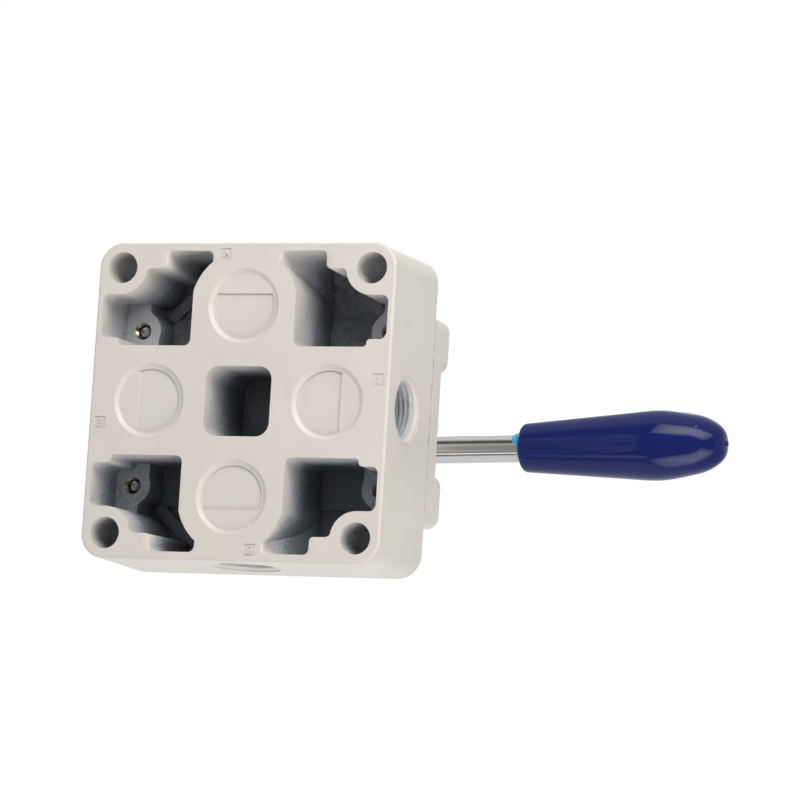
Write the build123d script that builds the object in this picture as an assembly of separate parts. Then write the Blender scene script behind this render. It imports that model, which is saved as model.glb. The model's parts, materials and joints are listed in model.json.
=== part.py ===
from build123d import *
from math import cos, radians, sin, sqrt, tan
import os

# Hand lever air valve: a square die-cast body that bolts down on its open underside, a cover with
# a tower over it, and a rotary distributor turned by a lever with a moulded grip.
# Millimetres. Origin: centre of the mounting face. +Z up from that face, +X towards the grip.
# The lever parts are built pointing along +X and then turned together by REST_ANGLE.

# ---- body casting ----
BODY_TOP = 91.5           # side of the square at the parting line
BODY_H = 32.9
BODY_LEAN = 0.5           # how far the draft takes each side in at the mounting face
BODY_CORNER_R = 7.0
BASE_EDGE_R = 0.8
HOLE_EDGE = 7.75          # mounting holes, in from both sides
HOLE_R = 4.5
HOLE_WALL_R = 7.6         # round wall that each mounting hole shares with its cavity
WINDOW = 20.0             # square pocket in the middle of the underside
WINDOW_R = 4.0
WINDOW_DEPTH = 29.0
PIVOT_BOSS_R = 7.8        # boss on the pocket's floor, under the rotor's pivot pin
PIVOT_BOSS_H = 2.0
CAVITY_DEPTH = 28.5
CAVITY_DRAFT = 1.0        # degrees
CAVITY_R = 2.0            # corners of the cavities
WEB_HALF = 15.65          # half width of the solid cross that holds the ports
WALL_X = 1.75             # walls of the cavities along the sides that face X
WALL_Y = 2.3              # and along the sides that face Y
STEP_X = 5.8              # step of the cross towards the side wall: length and rise
STEP_Y = 2.2
LEDGE_STEP = 4.1          # solid corner's start beside the horn, from the hole's wall
LEDGE_WALL = 7.4          # thickness of that corner from the side that faces Y
HORN_R = 16.2             # round wall about the knockout, along the cavity's horn
HORN_TIP_X = 9.6
PAD_X = 33.3              # raised pad on the cavity's floor, next to the cross
PAD_Y = 27.3
PAD_R = 3.0
PAD_H = 1.0
RIB_W = 3.1               # rib on the floor, under the rim of the cover's round plate
RIB_H = 1.8
RIB_FROM = 41.0           # degrees about the axis, from X
RIB_TO = 80.0

# ---- knockouts on the underside ----
KNOCKOUT_AT = 27.1        # distance from the axis
KNOCKOUT_R = 10.7
KNOCKOUT_BEVEL = 1.2
KNOCKOUT_DEPTH = 0.7
KNOCKOUT_STEP_R = 9.1     # deeper part, cut off by a chord
KNOCKOUT_STEP = 0.5
KNOCKOUT_CHORD = 3.7      # chord's distance outboard of the knockout's centre

# ---- square fields for the ports' numerals ----
MARK = 3.4
MARK_DEPTH = 0.25
MARK_EDGE = 3.85          # middle of a field, in from the body's side
MARK_SHIFT = 6.5          # and beside the port's axis

# ---- ports and passages ----
PORT_Z = 14.5
PORT_R = 8.33             # major radius of the port thread
PORT_THREAD = 13.0
PORT_CHAMFER = 0.65
PORT_SPOT_R = 9.9         # spot face about each port
PORT_SPOT_DEPTH = 0.2     # at the port's own height
PORT_CORE_R = 5.5         # cored passage behind the thread
PORT_CORE_PAST = 3.5      # how far it runs past the upright passage's axis
PASSAGE_AT = 17.2         # the four passages up to the rotor
PASSAGE_R = 4.0
SEAL_R = 6.5              # pocket of the seal rings
SEAL_POCKET = 3.2
SEAL_STAND = 0.3          # how far the rings stand proud of the body
SEAL_CORD_R = 0.85

# ---- cover ----
GASKET_T = 0.4
GASKET_INSET = 0.45
COVER_T = 7.2
COVER_EAR_INSET = 0.05    # ears' ends, inside the body's sides
COVER_DISC_INSET = 1.15   # and the round plate's rim
COVER_WAIST_R = 5.0       # where the round plate runs into the ears
COVER_EDGE_R = 0.6
SCREW_EDGE = 7.75         # cover screws, in from the sides that face X
SCREW_Y = 22.4
SCREW_R = 2.5
SCREW_CLEAR = 0.25
EAR_HALF = 7.7            # half width of an ear about its screw
EAR_R = 3.5
EAR_H = 5.0
SCREW_BOSS_R = 5.5        # boss inside the cavity that the screw is tapped into
SCREW_BOSS_Z = 17.1       # its end face
SCREW_BOSS_FOOT = 5.0     # from the screw to its inner side, on the way to the cross
SCREW_BOSS_NECK = 1.9     # and on the way to the corner
SCREW_BOSS_EASE = 2.5
SCREW_TIP = 1.9           # the screw ends this far inside the boss
HEAD_R = 4.25
HEAD_H = 5.0
HEX_FLATS = 4.0           # socket in the head
WASHER_R = 5.0
WASHER_T = 1.0
BELL_R = 31.5             # lower tower, round the rotor
BELL_H = 7.5
BELL_DRAFT = 2.0          # degrees
BELL_FOOT_R = 3.0         # fillet on the plate
BELL_SHOULDER_R = 5.0
NECK_R = 15.4             # upper tower, round the spindle
NECK_ROOT_R = 8.0
FLANGE_R = 16.8           # top of the tower, under the lever hub
FLANGE_H = 4.5
TOWER_TOP = 86.0
CHAMBER_R = 26.0          # inside the bell
CHAMBER_H = 11.2
CHAMBER_TOP = 57.0        # ceiling over the spindle's flange

# ---- rotor, spindle and what they turn in ----
ROTOR_R = 24.5
ROTOR_T = 10.0
KIDNEY_HALF = 45.0        # degrees each side of the kidney's middle
KIDNEY_DEPTH = 4.0
PIVOT_R = 2.5
PIVOT_SEAT = 4.4
PIVOT_STAND = 4.2
RUN_FIT = 0.05            # radial clearance of what turns
TANG_T = 6.0
TANG_W = 14.0
TANG_SEAT = 4.6
TANG_GAP = 0.3
SPINDLE_R = 7.0
SPINDLE_FLANGE_R = 13.0
SPINDLE_FLANGE_T = 4.0
THRUST_T = 1.0
BUSH_R = 9.0
BUSH_L = 22.0
LIP_SEAL_R = 9.6
LIP_SEAL_T = 5.2
CORD_R = 0.8              # cord of the spindle's O-ring
CORD_Z = 66.0
SPRING_R = 10.0           # mean radius of the rotor spring
SPRING_WIRE_R = 1.0
SPRING_TURNS = 2.5

# ---- detent between tower and hub ----
PLATE_R = 13.4
PLATE_T = 2.0
PLATE_BORE_GAP = 0.6
PLATE_PIN_R = 1.25
PLATE_PIN_L = 8.0
PLATE_PIN_AT = 11.4
BALL_R = 2.5
BALL_AT = 10.3
BALL_GAP = 0.05           # under a ball that rides between two dimples
BALL_FIT = 0.05
DIMPLE = 0.6
DETENT_STEP = 45.0        # degrees between the lever's three places
STOP_HALF = 9.0           # half angle of the stop lug on the tower
STOP_H = 6.0
STOP_GAP = 0.2            # degrees
STOP_CLEAR = 0.4

# ---- lever ----
REST_ANGLE = -1.7         # the lever's play: it stands this far off its middle place
HUB_GAP = 0.5
HUB_R = 16.4
HUB_SKIRT_H = 9.0
HUB_NECK_R = 12.6
HUB_NECK_UP = 4.0         # foot of the hub's neck, above the rod's axis
HUB_NECK_H = 8.0
HUB_EDGE_R = 1.5
LEVER_Z = 104.0
ROD_R = 4.25
ROD_START = 8.6
ROD_SHORT = 1.0           # the rod ends this far short of the insert's end
HUB_SOCKET_R = 8.0        # boss that the rod screws into
HUB_SOCKET_X = 19.5
SQUARE_R = 6.0            # top of the spindle, with two flats
SQUARE_FLAT = 4.5
SQUARE_SHORT = 0.5
HUB_POCKET = 4.0
HUB_POCKET_R = 8.5
HUB_WASHER_R = 8.0
HUB_WASHER_T = 1.5
HUB_SCREW_R = 3.0
HUB_SCREW_L = 16.0
HUB_TAP_SPARE = 2.0
HUB_HEAD_R = 5.0
HUB_HEAD_H = 6.0
HUB_HEX = 5.0
GRUB_R = 2.5
GRUB_L = 3.2
GRUB_X = 14.5
GRUB_HEX = 2.5
DETENT_SPRING_R = 1.9
DETENT_WIRE_R = 0.4
DETENT_SPRING_H = 10.0    # from the ball's middle to the pocket's ceiling
DETENT_TURNS = 5.0
END_GAP = 0.02            # between a coil spring's end and its seat

# ---- grip ----
GRIP_START = 51.3
GRIP_NECK_R = 7.47
GRIP_RIM_R = 0.6
GRIP_TAPER = 0.0803       # gain in radius along the straight part
GRIP_EASE = 7.5           # length in which the taper runs out into the belly
GRIP_BELLY_X = 91.5       # fattest place
GRIP_BELLY_R = 10.6
GRIP_END = 112.9
GRIP_NOSE = [(0.56, 0.843), (0.79, 0.683), (0.963, 0.393)]  # shares of nose length and belly
GATE_R = 1.3              # moulding gate on the tip
GATE_H = 0.5
INSERT_R = 6.0
INSERT_IN = 1.4           # the insert starts this far inside the mouth
INSERT_L = 22.0

# ---- derived places ----
BODY_BASE = BODY_TOP - 2 * BODY_LEAN
HALF_PITCH = BODY_TOP / 2 - HOLE_EDGE
SCREW_X = BODY_TOP / 2 - SCREW_EDGE
COVER_X = BODY_TOP - 2 * COVER_EAR_INSET
COVER_DISC_R = BODY_TOP / 2 - COVER_DISC_INSET
COVER_Z = BODY_H + GASKET_T
PLATE_Z = COVER_Z + COVER_T
EAR_Z = PLATE_Z + EAR_H
HEAD_Z = EAR_Z + WASHER_T
ROTOR_Z = BODY_H + SEAL_STAND
ROTOR_TOP = ROTOR_Z + ROTOR_T
THRUST_Z = CHAMBER_TOP - THRUST_T
FLANGE_Z = THRUST_Z - SPINDLE_FLANGE_T
LIP_Z = TOWER_TOP - LIP_SEAL_T
PLATE_TOP = TOWER_TOP + PLATE_T
HUB_Z = PLATE_TOP + HUB_GAP
HUB_NECK_Z = LEVER_Z + HUB_NECK_UP
HUB_TOP = HUB_NECK_Z + HUB_NECK_H
HUB_FLOOR = HUB_TOP - HUB_POCKET
HEAD_SEAT = HUB_FLOOR + HUB_WASHER_T
BALL_Z = PLATE_TOP + BALL_GAP + BALL_R
POCKET_TOP = BALL_Z + DETENT_SPRING_H
PORT_HALF = (BODY_BASE + (BODY_TOP - BODY_BASE) * PORT_Z / BODY_H) / 2
PORT_MOUTH = PORT_HALF - PORT_SPOT_DEPTH
QUARTERS = [(sx, sy) for sx in (1, -1) for sy in (1, -1)]
SCREW_SPOTS = [(sx * SCREW_X, sy * SCREW_Y) for sx, sy in QUARTERS]
HOLE_SPOTS = [(sx * HALF_PITCH, sy * HALF_PITCH) for sx, sy in QUARTERS]


# ---- small helpers ----

def box(x0, x1, y0, y1):
    """Flat rectangle between two corners."""
    return Pos((x0 + x1) / 2, (y0 + y1) / 2) * Rectangle(x1 - x0, y1 - y0)


def disc(x, y, r):
    return Pos(x, y) * Circle(r)


def rise(flat, z0, z1):
    """Straight solid of a flat outline between two heights."""
    return extrude(Pos(0, 0, z0) * flat, amount=z1 - z0)


def rod(r, z0, z1, x=0.0, y=0.0):
    """Upright cylinder."""
    return rise(disc(x, y, r), z0, z1)


def tube(r_in, r_out, z0, z1, x=0.0, y=0.0):
    return rise(disc(x, y, r_out) - disc(x, y, r_in), z0, z1)


def turned(*points):
    """Solid turned about Z from (radius, height) points."""
    return revolve(Plane.XZ * make_face(Polyline(*points, close=True)), Axis.Z)


def joined(parts):
    whole = parts[0]
    for p in parts[1:]:
        whole = whole + p
    return whole


def four(solid):
    """The same solid on each of the four sides."""
    return joined([Rot(0, 0, 90 * i) * solid for i in range(4)])


def hexagon(flats):
    return RegularPolygon(flats / 2, 6, major_radius=False)


def to_x(solid):
    """Turn a solid that stands along +Z so that it lies along +X, with its foot at the origin."""
    return Rot(0, 90, 0) * solid


def corners(flat, *spots):
    """The outline's vertices nearest to some places."""
    return [flat.vertices().sort_by_distance(Vector(x, y))[0] for x, y in spots]


def sector(r0, r1, half, middle=0.0):
    """Flat piece of a ring, half degrees to each side of the middle."""
    far = 2 * r1
    a = radians(half)
    wedge = make_face(Polyline((0, 0), (far * cos(a), -far * sin(a)), (far * cos(a), far * sin(a)), close=True))
    return Rot(0, 0, middle) * ((Circle(r1) - Circle(r0)) & wedge)


def coil(mean_r, wire_r, z0, z1, turns):
    """Coil spring whose wire's middle climbs from z0 to z1."""
    path = Pos(0, 0, z0) * Helix((z1 - z0) / turns, z1 - z0, mean_r)
    start = Plane(origin=path @ 0, z_dir=path % 0)
    return sweep(start * Circle(wire_r), path, is_frenet=True)


# ---- body casting ----

def cavity_outline():
    """Mouth of one corner cavity, in the quarter where x and y are positive."""
    edge_x = BODY_BASE / 2 - WALL_X
    edge_y = BODY_BASE / 2 - WALL_Y
    ledge_y = BODY_BASE / 2 - LEDGE_WALL
    step_x = edge_x - STEP_X
    step_y = WEB_HALF + STEP_Y
    bend = HALF_PITCH - HOLE_WALL_R
    ledge_x = bend - LEDGE_STEP
    room = box(WEB_HALF, edge_x, WEB_HALF, edge_y)
    horn = box(HORN_TIP_X, WEB_HALF + 1, KNOCKOUT_AT, edge_y) - disc(0, KNOCKOUT_AT, HORN_R)
    room = room + horn
    room = room - box(step_x, edge_x, WEB_HALF, step_y)
    room = room - box(ledge_x, edge_x, ledge_y, edge_y)
    room = room - box(HALF_PITCH, edge_x, bend, edge_y)
    room = room - disc(HALF_PITCH, HALF_PITCH, HOLE_WALL_R)
    neck = (WEB_HALF, KNOCKOUT_AT + sqrt(HORN_R ** 2 - WEB_HALF ** 2))
    room = fillet(corners(room, (edge_x, bend), (edge_x, step_y), (WEB_HALF, WEB_HALF), neck,
                          (ledge_x, edge_y)), CAVITY_R)
    room = fillet(corners(room, (ledge_x, ledge_y), (bend, ledge_y)), 0.75 * CAVITY_R)
    room = fillet(corners(room, (HORN_TIP_X, edge_y), (HORN_TIP_X, edge_y - CAVITY_R)), 0.6 * CAVITY_R)
    room = fillet(corners(room, (step_x, WEB_HALF), (step_x, step_y)), 0.48 * STEP_Y)
    return room


def screw_boss():
    """Boss that a cover screw is tapped into; it joins the cross, the side wall and the corner."""
    foot_x = SCREW_X - SCREW_BOSS_FOOT
    neck_x = SCREW_X - SCREW_BOSS_NECK
    flat = disc(SCREW_X, SCREW_Y, SCREW_BOSS_R)
    flat = flat + box(foot_x, BODY_BASE / 2, 0, SCREW_Y)
    flat = flat + box(neck_x, BODY_BASE / 2, SCREW_Y, HALF_PITCH)
    bends = [(x, SCREW_Y + side * sqrt(SCREW_BOSS_R ** 2 - (SCREW_X - x) ** 2))
             for x, side in ((foot_x, -1), (neck_x, 1))]
    flat = fillet(corners(flat, *bends), SCREW_BOSS_EASE)
    return rise(flat, SCREW_BOSS_Z, BODY_H)


def cavity_floor():
    """What stands on the cavity's floor: a pad beside the cross and a curved rib along the horn."""
    pad = box(0, PAD_X, 0, PAD_Y)
    pad = fillet(corners(pad, (PAD_X, PAD_Y)), PAD_R)
    middle = COVER_DISC_R - RIB_W / 2
    rib = sector(COVER_DISC_R - RIB_W, COVER_DISC_R, (RIB_TO - RIB_FROM) / 2, (RIB_TO + RIB_FROM) / 2)
    rib = rib + disc(middle * cos(radians(RIB_FROM)), middle * sin(radians(RIB_FROM)), RIB_W / 2)
    return rise(pad, CAVITY_DEPTH - PAD_H, BODY_H) + rise(rib, CAVITY_DEPTH - RIB_H, BODY_H)


def cavity():
    """The cavity's room, which narrows with the draft towards its floor."""
    mouth = cavity_outline()
    floor = offset(mouth, amount=-CAVITY_DEPTH * tan(radians(CAVITY_DRAFT)))
    return loft([mouth, Pos(0, 0, CAVITY_DEPTH) * floor], ruled=True) - screw_boss() - cavity_floor()


def knockout():
    """Shallow round recess with a deeper part that a chord cuts off; its middle is on +X."""
    wide = turned((0, 0), (KNOCKOUT_R, 0), (KNOCKOUT_R - KNOCKOUT_BEVEL, KNOCKOUT_DEPTH),
                  (0, KNOCKOUT_DEPTH))
    deep = Circle(KNOCKOUT_STEP_R) & box(-KNOCKOUT_R, KNOCKOUT_CHORD, -KNOCKOUT_R, KNOCKOUT_R)
    return Pos(KNOCKOUT_AT, 0, 0) * (wide + rise(deep, 0, KNOCKOUT_DEPTH + KNOCKOUT_STEP))


def mark():
    """Shallow square field beside the +X port, on the mounting face."""
    at = BODY_TOP / 2 - MARK_EDGE
    return rise(Pos(at, -MARK_SHIFT) * Rectangle(MARK, MARK), 0, MARK_DEPTH)


def port():
    """Everything cut for the port on the +X side: spot face, thread, cored passage, seal pocket."""
    thread_out = PORT_MOUTH - PORT_CHAMFER
    thread_in = thread_out - PORT_THREAD
    core_in = PASSAGE_AT - PORT_CORE_PAST
    outside = PORT_HALF + 2
    bore = turned((0, core_in), (PORT_CORE_R, core_in), (PORT_CORE_R, thread_in), (PORT_R, thread_in),
                  (PORT_R, thread_out), (PORT_R + PORT_CHAMFER, PORT_MOUTH), (PORT_SPOT_R, PORT_MOUTH),
                  (PORT_SPOT_R, outside), (0, outside))
    bore = Pos(0, 0, PORT_Z) * to_x(bore)
    bore = bore + rod(PASSAGE_R, PORT_Z, BODY_H, PASSAGE_AT)
    return bore + rod(SEAL_R, BODY_H - SEAL_POCKET, BODY_H + 1, PASSAGE_AT)


def body_casting():
    foot = RectangleRounded(BODY_BASE, BODY_BASE, BODY_CORNER_R)
    top = Pos(0, 0, BODY_H) * RectangleRounded(BODY_TOP, BODY_TOP, BODY_CORNER_R)
    block = loft([foot, top])
    block = fillet(block.faces().sort_by(Axis.Z)[0].edges(), BASE_EDGE_R)
    room = cavity()
    block = block - room - mirror(room, Plane.YZ) - mirror(room, Plane.XZ)
    block = block - mirror(mirror(room, Plane.YZ), Plane.XZ)
    block = block - rise(RectangleRounded(WINDOW, WINDOW, WINDOW_R), 0, WINDOW_DEPTH)
    block = block + rod(PIVOT_BOSS_R, WINDOW_DEPTH - PIVOT_BOSS_H, WINDOW_DEPTH)
    block = block - four(knockout()) - four(mark()) - four(port())
    for x, y in HOLE_SPOTS:
        block = block - rod(HOLE_R, 0, BODY_H, x, y)
    for x, y in SCREW_SPOTS:
        block = block - rod(SCREW_R, SCREW_BOSS_Z, BODY_H, x, y)
    return block - rod(PIVOT_R, BODY_H - PIVOT_SEAT, BODY_H)


# ---- cover and what it is fixed with ----

def cover_outline():
    """A round plate with an ear band across it; the four corners stay clear for the bolts."""
    reach = SCREW_Y + EAR_HALF
    flat = Circle(COVER_DISC_R) + RectangleRounded(COVER_X, 2 * reach, EAR_R)
    waist = sqrt(COVER_DISC_R ** 2 - reach ** 2)
    spots = [(sx * waist, sy * reach) for sx, sy in QUARTERS]
    return fillet(corners(flat, *spots), COVER_WAIST_R)


def ear(sx, sy):
    """Raised pad under a cover screw, level with the side of the cover."""
    flat = box(SCREW_X - EAR_HALF, COVER_X / 2, SCREW_Y - EAR_HALF, SCREW_Y + EAR_HALF)
    inner = [(SCREW_X - EAR_HALF, SCREW_Y + s * EAR_HALF) for s in (1, -1)]
    outer = [(COVER_X / 2, SCREW_Y + s * EAR_HALF) for s in (1, -1)]
    flat = fillet(corners(flat, *inner), 0.9 * EAR_HALF)
    flat = fillet(corners(flat, *outer), EAR_R)
    pad = rise(flat, COVER_Z, EAR_Z)
    pad = fillet(pad.faces().sort_by(Axis.Z)[-1].edges(), COVER_EDGE_R)
    pad = pad if sx > 0 else mirror(pad, Plane.YZ)
    return pad if sy > 0 else mirror(pad, Plane.XZ)


def tower():
    """Outside of the bell, the neck and the flange, turned in one."""
    lean = BELL_H * tan(radians(BELL_DRAFT))
    bell_top = PLATE_Z + BELL_H
    neck_z = bell_top + (BELL_R - lean - NECK_R)
    flange_z = TOWER_TOP - FLANGE_H
    shape = turned((0, COVER_Z), (BELL_R, COVER_Z), (BELL_R, PLATE_Z), (BELL_R - lean, bell_top),
                   (NECK_R, neck_z), (NECK_R, flange_z - (FLANGE_R - NECK_R)), (FLANGE_R, flange_z),
                   (FLANGE_R, TOWER_TOP), (0, TOWER_TOP))
    rings = shape.edges().filter_by(GeomType.CIRCLE)
    shoulder = [e for e in rings if abs(e.center().Z - bell_top) < 0.1 and e.radius > NECK_R]
    shape = fillet(shoulder, BELL_SHOULDER_R)
    rings = shape.edges().filter_by(GeomType.CIRCLE)
    root = [e for e in rings if abs(e.center().Z - neck_z) < 0.1]
    return fillet(root, NECK_ROOT_R)


def chamber():
    """Inside of the tower: rotor chamber, bush seat and the pocket of the lip seal."""
    wide = SPINDLE_FLANGE_R + 1
    straight = COVER_Z + CHAMBER_H
    bush_end = CHAMBER_TOP + BUSH_L
    throat = SPINDLE_R + PLATE_BORE_GAP
    return turned((0, COVER_Z), (CHAMBER_R, COVER_Z), (CHAMBER_R, straight),
                  (wide, straight + CHAMBER_R - wide), (wide, CHAMBER_TOP), (BUSH_R, CHAMBER_TOP),
                  (BUSH_R, bush_end), (throat, bush_end), (throat, LIP_Z), (LIP_SEAL_R, LIP_Z),
                  (LIP_SEAL_R, TOWER_TOP), (0, TOWER_TOP))


def stop_lug():
    flat = sector(PLATE_R + STOP_CLEAR, FLANGE_R, STOP_HALF, 180)
    return rise(flat, TOWER_TOP, TOWER_TOP + STOP_H)


def plate_pin_spots():
    return [(PLATE_PIN_AT, 0), (-PLATE_PIN_AT, 0)]


def cover_casting():
    plate = rise(cover_outline(), COVER_Z, PLATE_Z)
    plate = fillet(plate.faces().sort_by(Axis.Z)[-1].edges(), COVER_EDGE_R)
    plate = plate + tower()
    foot = [e for e in plate.edges().filter_by(GeomType.CIRCLE)
            if abs(e.center().Z - PLATE_Z) < 0.01 and abs(e.radius - BELL_R) < 0.01]
    plate = fillet(foot, BELL_FOOT_R)
    for sx, sy in QUARTERS:
        plate = plate + ear(sx, sy)
    plate = plate - chamber()
    plate = plate + stop_lug()
    for x, y in SCREW_SPOTS:
        plate = plate - rod(SCREW_R + SCREW_CLEAR, COVER_Z, EAR_Z, x, y)
    for x, y in plate_pin_spots():
        plate = plate - rod(PLATE_PIN_R, PLATE_TOP - PLATE_PIN_L, TOWER_TOP, x, y)
    return plate


def cover_gasket():
    flat = offset(cover_outline(), amount=-GASKET_INSET) - Circle(CHAMBER_R)
    for x, y in SCREW_SPOTS:
        flat = flat - disc(x, y, SCREW_R + SCREW_CLEAR)
    return rise(flat, BODY_H, COVER_Z)


def socket_screw(shank_r, length, head_r, head_h, flats):
    """Socket head cap screw that points down, with the underside of its head at the origin."""
    tip = 0.35 * shank_r
    shape = turned((0, -length), (shank_r - tip, -length), (shank_r, tip - length), (shank_r, 0),
                   (head_r, 0), (head_r, head_h - tip / 2), (head_r - tip / 2, head_h), (0, head_h))
    return shape - rise(hexagon(flats), head_h / 2, head_h)


def cover_screws():
    length = HEAD_Z - SCREW_BOSS_Z - SCREW_TIP
    screw = Pos(0, 0, HEAD_Z) * socket_screw(SCREW_R, length, HEAD_R, HEAD_H, HEX_FLATS)
    return [Pos(x, y, 0) * screw for x, y in SCREW_SPOTS]


def screw_washers():
    return [tube(SCREW_R + SCREW_CLEAR, WASHER_R, EAR_Z, HEAD_Z, x, y) for x, y in SCREW_SPOTS]


# ---- seals, bush and pivot that stay with the body ----

def passage_spots():
    return [(PASSAGE_AT * cos(radians(a)), PASSAGE_AT * sin(radians(a))) for a in (0, 90, 180, 270)]


def port_seal_o_rings():
    z = BODY_H - SEAL_POCKET + SEAL_CORD_R
    return [Pos(x, y, z) * Torus(SEAL_R - SEAL_CORD_R, SEAL_CORD_R) for x, y in passage_spots()]


def port_seal_rings():
    foot = BODY_H - SEAL_POCKET + 2 * SEAL_CORD_R
    return [tube(PASSAGE_R, SEAL_R, foot, ROTOR_Z, x, y) for x, y in passage_spots()]


def rotor_pivot_pin():
    return rod(PIVOT_R, BODY_H - PIVOT_SEAT, BODY_H + PIVOT_STAND)


def spindle_bush():
    return tube(SPINDLE_R + RUN_FIT, BUSH_R, CHAMBER_TOP, CHAMBER_TOP + BUSH_L)


def thrust_washer():
    return tube(SPINDLE_R + RUN_FIT, SPINDLE_FLANGE_R, THRUST_Z, CHAMBER_TOP)


def spindle_lip_seal():
    lip = SPINDLE_R + RUN_FIT
    back = LIP_Z + LIP_SEAL_T / 4
    mouth = LIP_Z + LIP_SEAL_T / 2
    return turned((lip, LIP_Z), (LIP_SEAL_R, LIP_Z), (LIP_SEAL_R, TOWER_TOP),
                  (LIP_SEAL_R - 1, TOWER_TOP), (LIP_SEAL_R - 1, mouth), (lip + 1, back), (lip, mouth))


def detent_plate():
    plate = tube(SPINDLE_R + PLATE_BORE_GAP, PLATE_R, TOWER_TOP, PLATE_TOP)
    ball_low = PLATE_TOP + BALL_R - DIMPLE
    for side in (90, 270):
        for step in (-DETENT_STEP, 0, DETENT_STEP):
            plate = plate - Rot(0, 0, side + step) * Pos(BALL_AT, 0, ball_low) * Sphere(BALL_R)
    for x, y in plate_pin_spots():
        plate = plate - rod(PLATE_PIN_R, TOWER_TOP, PLATE_TOP, x, y)
    return plate


def detent_plate_pins():
    return [rod(PLATE_PIN_R, PLATE_TOP - PLATE_PIN_L, PLATE_TOP, x, y) for x, y in plate_pin_spots()]


# ---- rotor and spindle, built in the lever's middle place ----

def kidney():
    """Flat kidney that joins two neighbouring passages, with its middle on +X."""
    band = sector(PASSAGE_AT - PASSAGE_R, PASSAGE_AT + PASSAGE_R, KIDNEY_HALF)
    a = radians(KIDNEY_HALF)
    for s in (1, -1):
        band = band + disc(PASSAGE_AT * cos(a), s * PASSAGE_AT * sin(a), PASSAGE_R)
    return band


def rotor():
    wheel = rod(ROTOR_R, ROTOR_Z, ROTOR_TOP)
    wheel = chamfer(wheel.edges().filter_by(GeomType.CIRCLE).sort_by(Axis.Z)[-1], 1)
    for turn in (0, 180):
        wheel = wheel - rise(Rot(0, 0, turn) * kidney(), ROTOR_Z, ROTOR_Z + KIDNEY_DEPTH)
    wheel = wheel - rod(PIVOT_R + RUN_FIT, ROTOR_Z, BODY_H + PIVOT_STAND + TANG_GAP)
    return wheel - rise(Rectangle(TANG_W, TANG_T), ROTOR_TOP - TANG_SEAT, ROTOR_TOP)


def spindle():
    cord_in = SPINDLE_R - 2 * CORD_R
    cord_half = 1.2 * CORD_R
    top = HUB_FLOOR - SQUARE_SHORT
    shaft = turned((0, FLANGE_Z), (SPINDLE_FLANGE_R, FLANGE_Z), (SPINDLE_FLANGE_R, THRUST_Z),
                   (SPINDLE_R, THRUST_Z), (SPINDLE_R, CORD_Z - cord_half), (cord_in, CORD_Z - cord_half),
                   (cord_in, CORD_Z + cord_half), (SPINDLE_R, CORD_Z + cord_half),
                   (SPINDLE_R, HUB_Z), (0, HUB_Z))
    shaft = shaft + rise(two_flats(), HUB_Z, top)
    shaft = shaft + rise(Rectangle(TANG_W, TANG_T), ROTOR_TOP - TANG_SEAT + TANG_GAP, FLANGE_Z)
    tap = HEAD_SEAT - HUB_SCREW_L - HUB_TAP_SPARE
    return shaft - rod(HUB_SCREW_R, tap, top)


def two_flats():
    """Section of the spindle's top, which the hub can't turn on."""
    return Circle(SQUARE_R) & Rectangle(2 * SQUARE_R, 2 * SQUARE_FLAT)


def spindle_o_ring():
    return Pos(0, 0, CORD_Z) * Torus(SPINDLE_R - CORD_R, CORD_R)


def rotor_spring():
    foot = ROTOR_TOP + SPRING_WIRE_R + END_GAP
    head = FLANGE_Z - SPRING_WIRE_R - END_GAP
    return coil(SPRING_R, SPRING_WIRE_R, foot, head, SPRING_TURNS)


# ---- lever, pointing along +X ----

def ball_spots():
    return [(0, BALL_AT), (0, -BALL_AT)]


def lever_hub():
    skirt = HUB_Z + HUB_SKIRT_H
    hub = turned((0, HUB_Z), (HUB_R, HUB_Z), (HUB_R, skirt), (HUB_NECK_R, HUB_NECK_Z),
                 (HUB_NECK_R, HUB_TOP), (0, HUB_TOP))
    hub = fillet(hub.edges().filter_by(GeomType.CIRCLE).sort_by(Axis.Z)[-1], HUB_EDGE_R)
    socket = Pos(0, 0, LEVER_Z) * to_x(rod(HUB_SOCKET_R, 0, HUB_SOCKET_X))
    socket = chamfer(socket.faces().sort_by(Axis.X)[-1].edges(), 1)
    hub = hub + socket
    hub = hub - Pos(0, 0, LEVER_Z) * to_x(rod(ROD_R, ROD_START, HUB_SOCKET_X))
    hub = hub - rise(two_flats(), HUB_Z, HUB_FLOOR)
    hub = hub - rod(HUB_POCKET_R, HUB_FLOOR, HUB_TOP)
    for x, y in ball_spots():
        hub = hub - rod(BALL_R + BALL_FIT, HUB_Z, POCKET_TOP, x, y)
    sweep_half = DETENT_STEP + STOP_HALF + STOP_GAP
    notch = sector(PLATE_R, HUB_R + 1, sweep_half, 180)
    hub = hub - rise(notch, HUB_Z, TOWER_TOP + STOP_H + STOP_CLEAR)
    return hub - grub_room()


def grub_room():
    """Tapped hole across the rod's socket."""
    return Pos(GRUB_X, 0, LEVER_Z) * Rot(-90, 0, 0) * rod(GRUB_R, ROD_R, HUB_SOCKET_R)


def rod_set_screw():
    screw = rod(GRUB_R, ROD_R, ROD_R + GRUB_L)
    screw = screw - rise(hexagon(GRUB_HEX), ROD_R + GRUB_L / 2, ROD_R + GRUB_L)
    return Pos(GRUB_X, 0, LEVER_Z) * Rot(-90, 0, 0) * screw - rod_bar()


def hub_washer():
    return tube(HUB_SCREW_R + SCREW_CLEAR, HUB_WASHER_R, HUB_FLOOR, HEAD_SEAT)


def hub_screw():
    return Pos(0, 0, HEAD_SEAT) * socket_screw(HUB_SCREW_R, HUB_SCREW_L, HUB_HEAD_R, HUB_HEAD_H, HUB_HEX)


def rod_bar():
    end = GRIP_START + INSERT_IN + INSERT_L - ROD_SHORT
    bar = rod(ROD_R, ROD_START, end)
    return Pos(0, 0, LEVER_Z) * to_x(chamfer(bar.faces().sort_by(Axis.Z)[-1].edges(), 0.8))


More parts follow.
